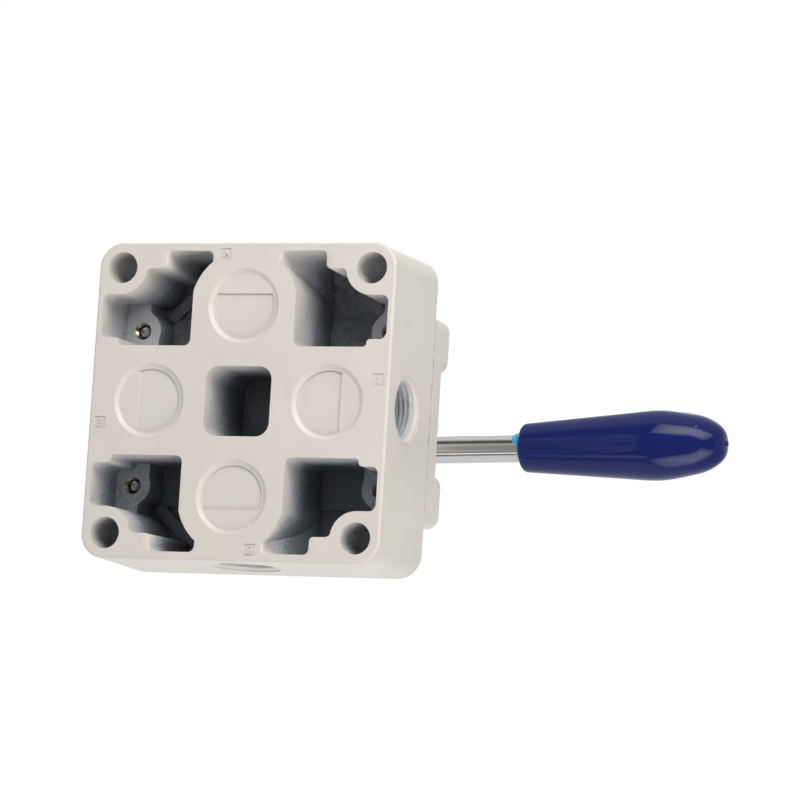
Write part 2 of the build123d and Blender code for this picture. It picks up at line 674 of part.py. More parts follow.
def grip_insert():
    start = GRIP_START + INSERT_IN
    return Pos(0, 0, LEVER_Z) * to_x(tube(ROD_R, INSERT_R, start, start + INSERT_L))


def lever_grip():
    """Moulded grip: a straight taper, a belly and a blunt nose, turned about the rod's axis."""
    start = (GRIP_START + GRIP_RIM_R, GRIP_NECK_R)
    ease_x = GRIP_BELLY_X - GRIP_EASE
    ease = (ease_x, GRIP_NECK_R + GRIP_TAPER * (ease_x - start[0]))
    belly = (GRIP_BELLY_X, GRIP_BELLY_R)
    nose_l = GRIP_END - GRIP_BELLY_X
    nose = [(GRIP_BELLY_X + a * nose_l, b * GRIP_BELLY_R) for a, b in GRIP_NOSE]
    mouth_r = GRIP_NECK_R - GRIP_RIM_R
    lip = Polyline((GRIP_END, 0), (GRIP_START, 0), (GRIP_START, mouth_r))
    rim = RadiusArc((GRIP_START, mouth_r), start, GRIP_RIM_R)
    cone = Line(start, ease)
    swell = Spline(ease, belly, tangents=[(1, GRIP_TAPER), (1, 0)])
    dome = Spline(belly, *nose, (GRIP_END, 0), tangents=[(1, 0), (0, -1)])
    shape = revolve(make_face([lip, rim, cone, swell, dome]), Axis.X)
    shape = shape + to_x(rod(GATE_R, GRIP_BELLY_X, GRIP_END + GATE_H))
    shape = shape - to_x(rod(ROD_R, GRIP_START, GRIP_START + INSERT_IN))
    shape = shape - to_x(rod(INSERT_R, GRIP_START + INSERT_IN, GRIP_START + INSERT_IN + INSERT_L))
    return Pos(0, 0, LEVER_Z) * shape


def detent_ball(x, y):
    return Pos(x, y, BALL_Z) * Sphere(BALL_R)


def detent_spring(x, y):
    reach = BALL_R + DETENT_WIRE_R + END_GAP
    foot = BALL_Z + sqrt(reach ** 2 - DETENT_SPRING_R ** 2)
    head = POCKET_TOP - DETENT_WIRE_R - END_GAP
    return Pos(x, y, 0) * coil(DETENT_SPRING_R, DETENT_WIRE_R, foot, head, DETENT_TURNS)


# ---- the assembly ----

def fixed_nodes():
    return {
        "body_casting": body_casting(),
        "cover_gasket": cover_gasket(),
        "cover_casting": cover_casting(),
        "cover_screws": cover_screws(),
        "cover_screw_washers": screw_washers(),
        "port_seal_rings": port_seal_rings(),
        "port_seal_o_rings": port_seal_o_rings(),
        "rotor_pivot_pin": rotor_pivot_pin(),
        "spindle_bush": spindle_bush(),
        "thrust_washer": thrust_washer(),
        "spindle_lip_seal": spindle_lip_seal(),
        "detent_plate": detent_plate(),
        "detent_plate_pins": detent_plate_pins(),
    }


def lever_nodes():
    nodes = {
        "rotor": rotor(),
        "rotor_spring": rotor_spring(),
        "spindle": spindle(),
        "spindle_o_ring": spindle_o_ring(),
        "lever_hub": lever_hub(),
        "hub_washer": hub_washer(),
        "hub_screw": hub_screw(),
        "rod_set_screw": rod_set_screw(),
        "lever_rod": rod_bar(),
        "grip_insert": grip_insert(),
        "lever_grip": lever_grip(),
    }
    for i, (x, y) in enumerate(ball_spots(), 1):
        nodes[f"detent_ball_{i}"] = detent_ball(x, y)
        nodes[f"detent_spring_{i}"] = detent_spring(x, y)
    return nodes


def write(name, shape, place=Location()):
    solids = shape if isinstance(shape, list) else [shape]
    moved = [place * s for s in solids]
    export_step(moved[0] if len(moved) == 1 else Compound(children=moved), f"parts/{name}.step")


os.makedirs("parts", exist_ok=True)
for name, shape in fixed_nodes().items():
    write(name, shape)
for name, shape in lever_nodes().items():
    write(name, shape, Rot(0, 0, REST_ANGLE))
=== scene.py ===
import json
import math

import bmesh
import bpy
from mathutils import Matrix, Quaternion, Vector
from mathutils.geometry import interpolate_bezier


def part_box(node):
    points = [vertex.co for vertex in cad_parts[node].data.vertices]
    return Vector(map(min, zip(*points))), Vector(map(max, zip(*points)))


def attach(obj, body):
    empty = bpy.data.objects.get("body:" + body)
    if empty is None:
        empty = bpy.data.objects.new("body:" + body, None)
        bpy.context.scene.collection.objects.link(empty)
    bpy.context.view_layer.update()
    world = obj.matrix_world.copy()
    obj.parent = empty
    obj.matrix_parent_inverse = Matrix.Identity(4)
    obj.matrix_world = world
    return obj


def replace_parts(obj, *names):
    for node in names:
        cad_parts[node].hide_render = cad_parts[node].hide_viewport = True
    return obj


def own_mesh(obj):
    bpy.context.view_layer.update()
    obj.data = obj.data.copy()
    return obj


bl_info = {
    "name": "Hand lever air valve",
    "version": (1, 0, 0),
    "blender": (4, 5, 0),
    "location": "View3D > Sidebar > Valve",
    "description": "Finishes, threads, numerals and stage for a hand lever air valve",
    "category": "Add Mesh",
}

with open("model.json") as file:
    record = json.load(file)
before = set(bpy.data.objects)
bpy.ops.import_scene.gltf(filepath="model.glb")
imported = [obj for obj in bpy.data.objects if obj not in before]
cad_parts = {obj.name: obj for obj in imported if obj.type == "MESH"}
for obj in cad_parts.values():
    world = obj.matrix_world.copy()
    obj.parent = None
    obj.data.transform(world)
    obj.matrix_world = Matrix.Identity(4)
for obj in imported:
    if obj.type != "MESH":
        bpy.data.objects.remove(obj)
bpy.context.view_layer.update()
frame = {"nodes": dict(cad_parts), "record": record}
MM = 0.001


# ---- places that come from the frame ----

def middle(node):
    low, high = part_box(node)
    return (low + high) / 2


def mount(name):
    return next(m for m in frame["record"]["mounts"] if m["name"] == name)


BODY_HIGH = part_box("body_casting")[1]
BASE_HALF = BODY_HIGH.x
SCREW_LOW, SCREW_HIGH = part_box("cover_screws")
SCREW_HEAD_R = 4.25 * MM    # an M5 socket head
QUARTERS = [(sx, sy) for sx in (1, -1) for sy in (1, -1)]
REST_TURN = math.atan2(middle("lever_grip").y, middle("lever_grip").x)
LEVER_Z = middle("lever_grip").z
JOINT_Z = middle("cover_gasket").z


# ---- sizes and colours that a user would change ----

def colour(label, what, value):
    """A finish's colour, as an sRGB hex value."""
    return bpy.props.StringProperty(name=label, description=what, default=value)


def length(label, what, millimetres):
    """A size that is given in millimetres and kept in metres."""
    return bpy.props.FloatProperty(name=label, description=what, default=millimetres * MM, precision=5,
                                   unit="LENGTH", subtype="DISTANCE")


class ValveColours(bpy.types.PropertyGroup):
    """Colours of the finishes, as sRGB hex values."""

    paint: colour("Body paint", "Satin enamel on the castings", "CDC9C3")
    # the bare casting's and the thin spray's cool, darker tones are partly painted shade for the depths of the
    # pockets
    casting: colour("Bare casting", "Die-cast aluminium that the paint did not reach", "81878F")
    spray: colour("Thin spray", "Mist of enamel over the bare casting", "C0C4CB")
    tapped: colour("Tapped metal", "Cut threads in the casting's bosses", "A39A84")
    machined: colour("Machined aluminium", "Cut threads in the ports", "C9CDD3")
    grip: colour("Grip", "Moulded grip", "172059")
    thread_lock: colour("Thread lock", "Bead of cured adhesive at the grip's mouth", "38B8E0")
    zinc: colour("Zinc plate", "Plated screws and washers", "C9CACB")
    chrome: colour("Chrome plate", "Lever rod", "D6D5D6")
    steel: colour("Steel", "Ground and drawn steel", "A9A9AB")
    black_oxide: colour("Black oxide", "Blackened screws", "26272A")
    bronze: colour("Bronze", "Sintered bronze bearings", "B58A4E")
    brass: colour("Brass", "Turned brass insert", "CBA255")
    rubber: colour("Rubber", "Nitrile seals and gasket", "1B1B1C")
    ptfe: colour("Fluoropolymer", "Seal rings", "ECEBE4")
    acetal: colour("Acetal", "Rotor", "E3E0D2")


class ValveSizes(bpy.types.PropertyGroup):
    """Sizes of what is added to the casting and the lever."""

    edge_round: length("Edge rounding", "Soft edge that the paint leaves on the castings", 0.35)
    # the pocket fade that this sets is partly the spray thinning out and partly painted shade
    paint_and_shade_reach: length("Paint reach", "Depth at which half of the spray has thinned out in the pockets", 15.0)
    port_pitch: length("Port thread pitch", "19 threads per inch", 1.337)
    port_depth: length("Port thread height", "From root to crest", 0.85)
    screw_pitch: length("Cover screw pitch", "Coarse thread of the cover screws", 0.8)
    screw_thread: length("Cover screw thread", "Threaded length", 14.0)
    numeral: length("Numeral height", "Raised numerals beside the ports", 2.1)
    stroke: length("Numeral stroke", "Width of a numeral's stroke", 0.42)
    bead: length("Bead width", "Thread lock squeezed out at the grip's mouth", 2.7)


class ValveStage(bpy.types.PropertyGroup):
    """Camera and light."""

    azimuth: bpy.props.FloatProperty(
        name="Azimuth", description="Camera's angle about Z, from behind -Y",
        default=math.radians(110.606), subtype="ANGLE")
    elevation: bpy.props.FloatProperty(
        name="Elevation", description="Camera's angle above the base plane",
        default=math.radians(-67.991), subtype="ANGLE")
    roll: bpy.props.FloatProperty(
        name="Roll", description="Camera's turn about its own axis",
        default=math.radians(112.751), subtype="ANGLE")
    distance: bpy.props.FloatProperty(
        name="Distance", description="From the camera to its aim",
        default=1.17495, unit="LENGTH", subtype="DISTANCE")
    aim: bpy.props.FloatVectorProperty(
        name="Aim", description="Point that the camera looks at",
        default=(0.048773, -0.000808, 0.0), unit="LENGTH", subtype="XYZ")
    lens: bpy.props.FloatProperty(
        name="Lens", description="Focal length in millimetres on a 36 mm sensor", default=191.0)
    brightness: bpy.props.FloatProperty(
        name="Brightness", description="Radiance of the soft boxes", default=4.85)


# ---- helpers ----

def srgb(text):
    """Linear colour of an sRGB hex value."""
    parts = [int(text[i:i + 2], 16) / 255 for i in (0, 2, 4)]
    return tuple(p / 12.92 if p <= 0.04045 else ((p + 0.055) / 1.055) ** 2.4 for p in parts) + (1.0,)


def add_node(tree, kind, inputs=(), **settings):
    """A node with its settings; an input takes a value, a socket, or a node's first live output."""
    node = tree.nodes.new(kind)
    for name, value in settings.items():
        setattr(node, name, value)
    for key, source in dict(inputs).items():
        if isinstance(source, bpy.types.Node):
            source = next(s for s in source.outputs if s.enabled)
        if isinstance(source, bpy.types.NodeSocket):
            tree.links.new(source, node.inputs[key])
        else:
            node.inputs[key].default_value = source
    return node


def new_material(name, **values):
    """A material with a plain shader: its node tree, its shader and the object's own coordinates."""
    material = bpy.data.materials.new(name)
    material.use_nodes = True
    tree = material.node_tree
    tree.nodes.clear()
    shader = add_node(tree, "ShaderNodeBsdfPrincipled", values)
    add_node(tree, "ShaderNodeOutputMaterial", {"Surface": shader})
    return material, tree, shader, add_node(tree, "ShaderNodeTexCoord").outputs["Object"]


def shade(tone, share):
    """A darker or lighter share of a linear colour."""
    return tuple(c * share for c in tone[:3]) + (1.0,)


def colours():
    return bpy.context.scene.valve_colours


def sizes():
    return bpy.context.scene.valve_sizes


def mesh_object(name, bm, smooth=True):
    mesh = bpy.data.meshes.new(name)
    bm.to_mesh(mesh)
    bm.free()
    for face in mesh.polygons:
        face.use_smooth = smooth
    obj = bpy.data.objects.new(name, mesh)
    bpy.context.scene.collection.objects.link(obj)
    return obj


def dress(node, material):
    """Give a CAD node one material."""
    obj = frame["nodes"][node]
    obj.data.materials.clear()
    obj.data.materials.append(material)
    return obj


def skin(bm, rings, closed=True):
    """Quads between rings of vertices; a ring of one vertex closes an end."""
    for a, b in zip(rings, rings[1:]):
        count = max(len(a), len(b))
        for i in range(count if closed else count - 1):
            j = (i + 1) % count
            if len(a) == 1:
                bm.faces.new((a[0], b[i], b[j]))
            elif len(b) == 1:
                bm.faces.new((a[j], a[i], b[0]))
            else:
                bm.faces.new((a[i], a[j], b[j], b[i]))


def lathe(bm, outline, place, steps=72):
    """Skin of (z, radius) points about Z; a radius may be a function of the angle, and 0 is an end."""
    rings = []
    for z, r in outline:
        if r == 0:
            rings.append([bm.verts.new(place @ Vector((0, 0, z)))])
            continue
        angles = [2 * math.pi * i / steps for i in range(steps)]
        radii = [r(a) if callable(r) else r for a in angles]
        rings.append([bm.verts.new(place @ Vector((q * math.cos(a), q * math.sin(a), z)))
                      for a, q in zip(angles, radii)])
    skin(bm, rings)


def rounded(corners):
    """Outline through corners (x, y, length that is eased), each eased along a parabola."""
    points = []
    for i, (x, y, ease) in enumerate(corners):
        here = Vector((x, y))
        start = here + (Vector(corners[i - 1][:2]) - here).normalized() * ease
        end = here + (Vector(corners[(i + 1) % len(corners)][:2]) - here).normalized() * ease
        steps = (0.0, 0.17, 0.34, 0.5, 0.66, 0.83, 1.0) if ease else (0.0,)
        points += [start.lerp(here, t).lerp(here.lerp(end, t), t) for t in steps]
    return points


def hexagon(flats):
    """Radius of a hexagon across its flats, as a function of the angle."""
    return lambda a: flats / 2 / math.cos((a % (math.pi / 3)) - math.pi / 6)


def thread_ridge(bm, place, z0, z1, pitch, root, crest, steps=40):
    """Helical ridge of one thread about Z, that grows from the root over its first and last half turn."""
    count = int((z1 - z0) / pitch * steps)
    foot, flat = 0.46, 0.08    # half widths of the ridge's foot and crest, as shares of the pitch
    rings = []
    for i in range(count + 1):
        a = 2 * math.pi * i / steps
        z = z0 + pitch * i / steps
        top = root + (crest - root) * min(1.0, 2 * i / steps, 2 * (count - i) / steps)
        way = Vector((math.cos(a), math.sin(a), 0))
        rings.append([bm.verts.new(place @ (way * r + Vector((0, 0, z + s * pitch))))
                      for s, r in ((-foot, root), (-flat, top), (flat, top), (foot, root))])
    skin(bm, rings)
    bm.faces.new(rings[0])
    bm.faces.new(list(reversed(rings[-1])))


def stroke(bm, points, width, low, high, place):
    """Raised ribbon along flat points, from one height to another."""
    sides = []
    for i, p in enumerate(points):
        before = points[max(i - 1, 0)]
        after = points[min(i + 1, len(points) - 1)]
        into = (p - before).normalized() if i else (after - p).normalized()
        out = (after - p).normalized() if i < len(points) - 1 else into
        mid = (into + out).normalized()
        across = Vector((-mid.y, mid.x)) * (width / 2 / max(0.5, mid.dot(into)))
        push = mid * (width / 2) * ((i == len(points) - 1) - (i == 0))
        sides.append((p + push + across, p + push - across))
    rings = [[bm.verts.new(place @ Vector((q.x, q.y, z))) for q, z in
              ((left, low), (left, high), (right, high), (right, low))] for left, right in sides]
    skin(bm, rings)
    bm.faces.new(rings[0])
    bm.faces.new(list(reversed(rings[-1])))


def screw_spots():
    """The axes of the four cover screws."""
    return [Vector((sx * (SCREW_HIGH.x - SCREW_HEAD_R), sy * (SCREW_HIGH.y - SCREW_HEAD_R)))
            for sx, sy in QUARTERS]


def finish_piece(name, bm, body, material, sharp=40.0):
    """A piece from its mesh: it rides on a body, has a slot and a material, and shades by angle."""
    bmesh.ops.recalc_face_normals(bm, faces=bm.faces)
    piece = mesh_object(name, bm)
    piece.data.set_sharp_from_angle(angle=math.radians(sharp))
    piece.data.materials.append(material)
    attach(piece, body)
    return piece


LEVER_PLACE = Matrix.Rotation(REST_TURN, 4, "Z") @ Matrix.Translation((0, 0, LEVER_Z))


# ---- stage ----

class VALVE_OT_stage(bpy.types.Operator):
    """Camera, pale floor, white surround and soft lights."""

    bl_idname = "valve.stage"
    bl_label = "Stage"

    def execute(self, context):
        stage = context.scene.valve_stage
        context.scene.view_settings.view_transform = "Standard"
        self.camera(context, stage)
        self.floor()
        self.surround(context)
        self.lights(context)
        return {"FINISHED"}

    def camera(self, context, stage):
        """A long lens at the stage's angles, turned about its own axis."""
        data = bpy.data.cameras.new("camera")
        data.sensor_width = 36.0
        data.lens = stage.lens
        data.clip_end = 20.0
        cam = bpy.data.objects.new("camera", data)
        context.scene.collection.objects.link(cam)
        level = math.cos(stage.elevation)
        back = Vector((math.sin(stage.azimuth) * level, -math.cos(stage.azimuth) * level,
                       math.sin(stage.elevation)))
        cam.location = Vector(stage.aim) + back * stage.distance
        turn = back.to_track_quat("Z", "Y") @ Quaternion((0, 0, 1), stage.roll)
        cam.rotation_euler = turn.to_euler()
        context.scene.camera = cam

    def floor(self):
        """Pale paper under the mounting face: matt and even."""
        bm = bmesh.new()
        half, below = 3.0, 0.1 * MM
        bm.faces.new([bm.verts.new((x, y, -below)) for x, y in
                      ((-half, -half), (half, -half), (half, half), (-half, half))])
        floor = mesh_object("floor", bm, smooth=False)
        material, tree, shader, _ = new_material("pale_floor_paper", Roughness=0.9)
        shader.inputs["Base Color"].default_value = srgb("F4F4F2")
        # the floor only shows from above, so that it neither hides nor shades the underside
        sight = add_node(tree, "ShaderNodeLightPath").outputs["Is Camera Ray"]
        under = add_node(tree, "ShaderNodeNewGeometry").outputs["Backfacing"]
        upper = add_node(tree, "ShaderNodeMath", {0: 1.0, 1: under}, operation="SUBTRACT")
        seen = add_node(tree, "ShaderNodeMath", {0: sight, 1: upper}, operation="MULTIPLY")
        mix = add_node(tree, "ShaderNodeMixShader",
                       {0: seen, 1: add_node(tree, "ShaderNodeBsdfTransparent"), 2: shader})
        tree.links.new(mix.outputs[0], tree.nodes["Material Output"].inputs["Surface"])
        floor.data.materials.append(material)

    def surround(self, context):
        """A light tent: bright all round and above, dark where the camera would stand, dimmer towards +X."""
        world = bpy.data.worlds.new("white_surround")
        world.use_nodes = True
        tree = world.node_tree
        tree.nodes.clear()
        around = add_node(tree, "ShaderNodeTexCoord").outputs["Generated"]
        way = add_node(tree, "ShaderNodeSeparateXYZ", {0: around})
        high = add_node(tree, "ShaderNodeMapRange",
                        {"Value": way.outputs["Z"], "From Min": -0.55, "From Max": -0.25,
                         "To Min": 0.12, "To Max": 0.85}, interpolation_type="SMOOTHSTEP")
        side = add_node(tree, "ShaderNodeVectorMath", {0: around, 1: (0.97, 0.15, 0)},
                        operation="DOT_PRODUCT").outputs["Value"]
        side = add_node(tree, "ShaderNodeMapRange",
                        {"Value": side, "From Min": -0.1, "From Max": 0.6,
                         "To Min": 1.0, "To Max": 0.55}, interpolation_type="SMOOTHSTEP")
        tent = add_node(tree, "ShaderNodeMath", {0: high, 1: side}, operation="MULTIPLY")
        light = add_node(tree, "ShaderNodeBackground", {"Color": (1, 1, 1, 1), "Strength": tent})
        # the camera itself sees plain white
        seen = add_node(tree, "ShaderNodeBackground", {"Color": (1, 1, 1, 1), "Strength": 1.0})
        sight = add_node(tree, "ShaderNodeLightPath").outputs["Is Camera Ray"]
        mix = add_node(tree, "ShaderNodeMixShader", {0: sight, 1: light, 2: seen})
        add_node(tree, "ShaderNodeOutputWorld", {"Surface": mix})
        context.scene.world = world

    # name, way towards the box, direction of its width, distance, width, height, share of brightness, colour
    SOFT_BOXES = (
        ("soft_box_far", (0.39, -0.68, -0.62), (0.72, 0.32, 0.07), 0.66, 0.80, 0.49, 1.24, "FFFCF8"),
        ("soft_box_near", (0.45, 0.82, -0.35), (0.66, -0.42, -0.18), 0.65, 0.80, 0.50, 0.80, "FFFCF8"),
        ("soft_box_fill", (-0.75, 0.0, -0.66), (0, 1, 0), 1.20, 0.80, 0.80, 0.30, "F2F6FF"),
        ("soft_box_top", (-0.45, -0.36, 0.82), (0, 1, 0), 1.40, 1.00, 0.80, 0.60, "FFFFFF"),
        ("light_strip", (-0.26, 0.60, -0.45), (0.98, 0.2, -0.1), 0.78, 0.22, 0.16, 0.26, "FFFFFF"),
    )

    def lights(self, context):
        """Soft boxes round the middle of the part, each with a glow that fades towards its rim."""
        target = Vector((30 * MM, 0, 0))
        for name, way, across, far, wide, tall, share, tint in self.SOFT_BOXES:
            data = bpy.data.lights.new(name, "AREA")
            data.shape = "RECTANGLE"
            data.size, data.size_y = wide, tall
            data.color = srgb(tint)[:3]
            data.energy = context.scene.valve_stage.brightness * share * math.pi * wide * tall
            data.use_nodes = True
            self.rim_fade(data.node_tree)
            light = bpy.data.objects.new(name, data)
            context.scene.collection.objects.link(light)
            way = Vector(way).normalized()
            side = Vector(across)
            side = (side - way * side.dot(way)).normalized()
            light.matrix_world = Matrix((side, way.cross(side), way)).transposed().to_4x4()
            light.location = target + way * far

    def rim_fade(self, tree):
        """The cloth of a soft box glows less towards its rim."""
        spot = add_node(tree, "ShaderNodeNewGeometry").outputs["Parametric"]
        spot = add_node(tree, "ShaderNodeVectorMath", {0: spot, 1: (0.5, 0.5, 0)}, operation="SUBTRACT")
        spot = add_node(tree, "ShaderNodeVectorMath", {0: spot, 1: (1, 1, 0)}, operation="MULTIPLY")
        spot = add_node(tree, "ShaderNodeVectorMath", {0: spot}, operation="ABSOLUTE")
        spot = add_node(tree, "ShaderNodeSeparateXYZ", {0: spot})
        rim = add_node(tree, "ShaderNodeMath", {0: spot.outputs["X"], 1: spot.outputs["Y"]},
                       operation="MAXIMUM")
        glow = add_node(tree, "ShaderNodeMapRange",
                        {"Value": rim, "From Min": 0.15, "From Max": 0.5, "To Min": 1.2, "To Max": 0.4},
                        interpolation_type="SMOOTHSTEP")
        tree.links.new(glow.outputs[0], tree.nodes["Emission"].inputs["Strength"])


# ---- finishes ----

def specks(tree, at, apart, size, kept):
    """1 inside small round specks, of which only a share is kept."""
    cells = add_node(tree, "ShaderNodeTexVoronoi", {"Vector": at, "Scale": 1 / apart})
    half = size / apart / 2
    dot = add_node(tree, "ShaderNodeMath", {0: cells.outputs["Distance"], 1: half}, operation="LESS_THAN")
    pick = add_node(tree, "ShaderNodeSeparateColor", {0: cells.outputs["Color"]})
    keep = add_node(tree, "ShaderNodeMath", {0: pick, 1: kept}, operation="LESS_THAN")
    return add_node(tree, "ShaderNodeMath", {0: dot, 1: keep}, operation="MULTIPLY")


def pocket_share(tree, at):
    """1 inside the body casting's pockets and bores, 0 on its outer sides and in the threaded mouths."""
    corner, skin_depth = 7.25 * MM, 1.55 * MM    # rounding of the square, and what counts as its outer side
    arm_half = 9.5 * MM                          # half width of the cross's arms, which hold the mouths
    mouth_from, mouth_to = 28 * MM, 32 * MM      # where the mouths begin, from the axis
    roof = BODY_HIGH.z - 1 * MM
    place = add_node(tree, "ShaderNodeSeparateXYZ", {0: at})
    x = add_node(tree, "ShaderNodeMath", {0: place.outputs["X"]}, operation="ABSOLUTE")
    y = add_node(tree, "ShaderNodeMath", {0: place.outputs["Y"]}, operation="ABSOLUTE")
    least = add_node(tree, "ShaderNodeMath", {0: x, 1: y}, operation="MINIMUM")
    most = add_node(tree, "ShaderNodeMath", {0: x, 1: y}, operation="MAXIMUM")
    # distance to the outline of the square with its rounded corners
    straight = BASE_HALF - corner
    past = [add_node(tree, "ShaderNodeMath", {0: v, 1: straight}, operation="SUBTRACT") for v in (x, y)]
    past = [add_node(tree, "ShaderNodeMath", {0: v, 1: 0.0}, operation="MAXIMUM") for v in past]
    flat = add_node(tree, "ShaderNodeCombineXYZ", {0: past[0], 1: past[1]})
    off = add_node(tree, "ShaderNodeVectorMath", {0: flat}, operation="LENGTH").outputs["Value"]
    inner = add_node(tree, "ShaderNodeMath", {0: off, 1: corner - skin_depth}, operation="LESS_THAN")
    arm = add_node(tree, "ShaderNodeMath", {0: least, 1: arm_half}, operation="LESS_THAN")
    mouth = add_node(tree, "ShaderNodeMapRange", {"Value": most, "From Min": mouth_from, "From Max": mouth_to})
    mouth = add_node(tree, "ShaderNodeMath", {0: arm, 1: mouth}, operation="MULTIPLY")
    clear = add_node(tree, "ShaderNodeMath", {0: 1.0, 1: mouth}, operation="SUBTRACT")
    lower = add_node(tree, "ShaderNodeMath", {0: place.outputs["Z"], 1: roof}, operation="LESS_THAN")
    inner = add_node(tree, "ShaderNodeMath", {0: inner, 1: clear}, operation="MULTIPLY")
    return add_node(tree, "ShaderNodeMath", {0: inner, 1: lower}, operation="MULTIPLY"), place.outputs["Z"]


def enamel_film(tree, at):
    """Colour of the sprayed film: faint clouds of thickness, dust specks, and chips along the joint.
    The specks are drawn larger than dust is, so that they show."""
    paint = srgb(colours().paint)
    clouds = add_node(tree, "ShaderNodeTexNoise", {"Vector": at, "Scale": 1 / (22 * MM), "Detail": 3.0})
    clouds = add_node(tree, "ShaderNodeMapRange", {"Value": clouds, "From Min": 0.35, "From Max": 0.7})
    film = add_node(tree, "ShaderNodeMix", {"Factor": clouds, "A": paint, "B": shade(paint, 0.95)},
                    data_type="RGBA")
    dust = specks(tree, at, 9 * MM, 0.4 * MM, 0.25)
    dust = add_node(tree, "ShaderNodeMath", {0: dust, 1: 0.6}, operation="MULTIPLY")
    film = add_node(tree, "ShaderNodeMix", {"Factor": dust, "A": film, "B": srgb("6B625A")}, data_type="RGBA")
    height = add_node(tree, "ShaderNodeSeparateXYZ", {0: at}).outputs["Z"]
    off = add_node(tree, "ShaderNodeMath", {0: height, 1: JOINT_Z}, operation="SUBTRACT")
    off = add_node(tree, "ShaderNodeMath", {0: off}, operation="ABSOLUTE")
    ragged = add_node(tree, "ShaderNodeTexNoise", {"Vector": at, "Scale": 1 / (2.5 * MM), "Detail": 5.0,
                                                   "Roughness": 0.65})
    reach = add_node(tree, "ShaderNodeMapRange", {"Value": ragged, "From Min": 0.5, "From Max": 0.75,
                                                  "To Min": 0.22 * MM, "To Max": 0.75 * MM})
    chip = add_node(tree, "ShaderNodeMath", {0: off, 1: reach}, operation="LESS_THAN")
    # only faces that stand upright have chips
    normal = add_node(tree, "ShaderNodeNewGeometry").outputs["True Normal"]
    level = add_node(tree, "ShaderNodeSeparateXYZ", {0: normal}).outputs["Z"]
    level = add_node(tree, "ShaderNodeMath", {0: level}, operation="ABSOLUTE")
    upright = add_node(tree, "ShaderNodeMath", {0: level, 1: 0.6}, operation="LESS_THAN")
    chip = add_node(tree, "ShaderNodeMath", {0: chip, 1: upright}, operation="MULTIPLY")
    return add_node(tree, "ShaderNodeMix", {"Factor": chip, "A": film, "B": srgb("77736E")}, data_type="RGBA")


def satin_enamel(name):
    """Sprayed satin enamel on die-cast aluminium: an even pale coat with a soft sheen, fine orange
    peel, faint clouds, and chips where the two castings meet."""
    material, tree, shader, at = new_material(name, Roughness=0.42, IOR=1.5)
    tree.links.new(enamel_film(tree, at).outputs["Result"], shader.inputs["Base Color"])
    peel = add_node(tree, "ShaderNodeTexNoise", {"Vector": at, "Scale": 1 / (1.1 * MM)})
    bump = add_node(tree, "ShaderNodeBump", {"Height": peel, "Distance": 0.012 * MM})
    tree.links.new(bump.outputs[0], shader.inputs["Normal"])
    return material


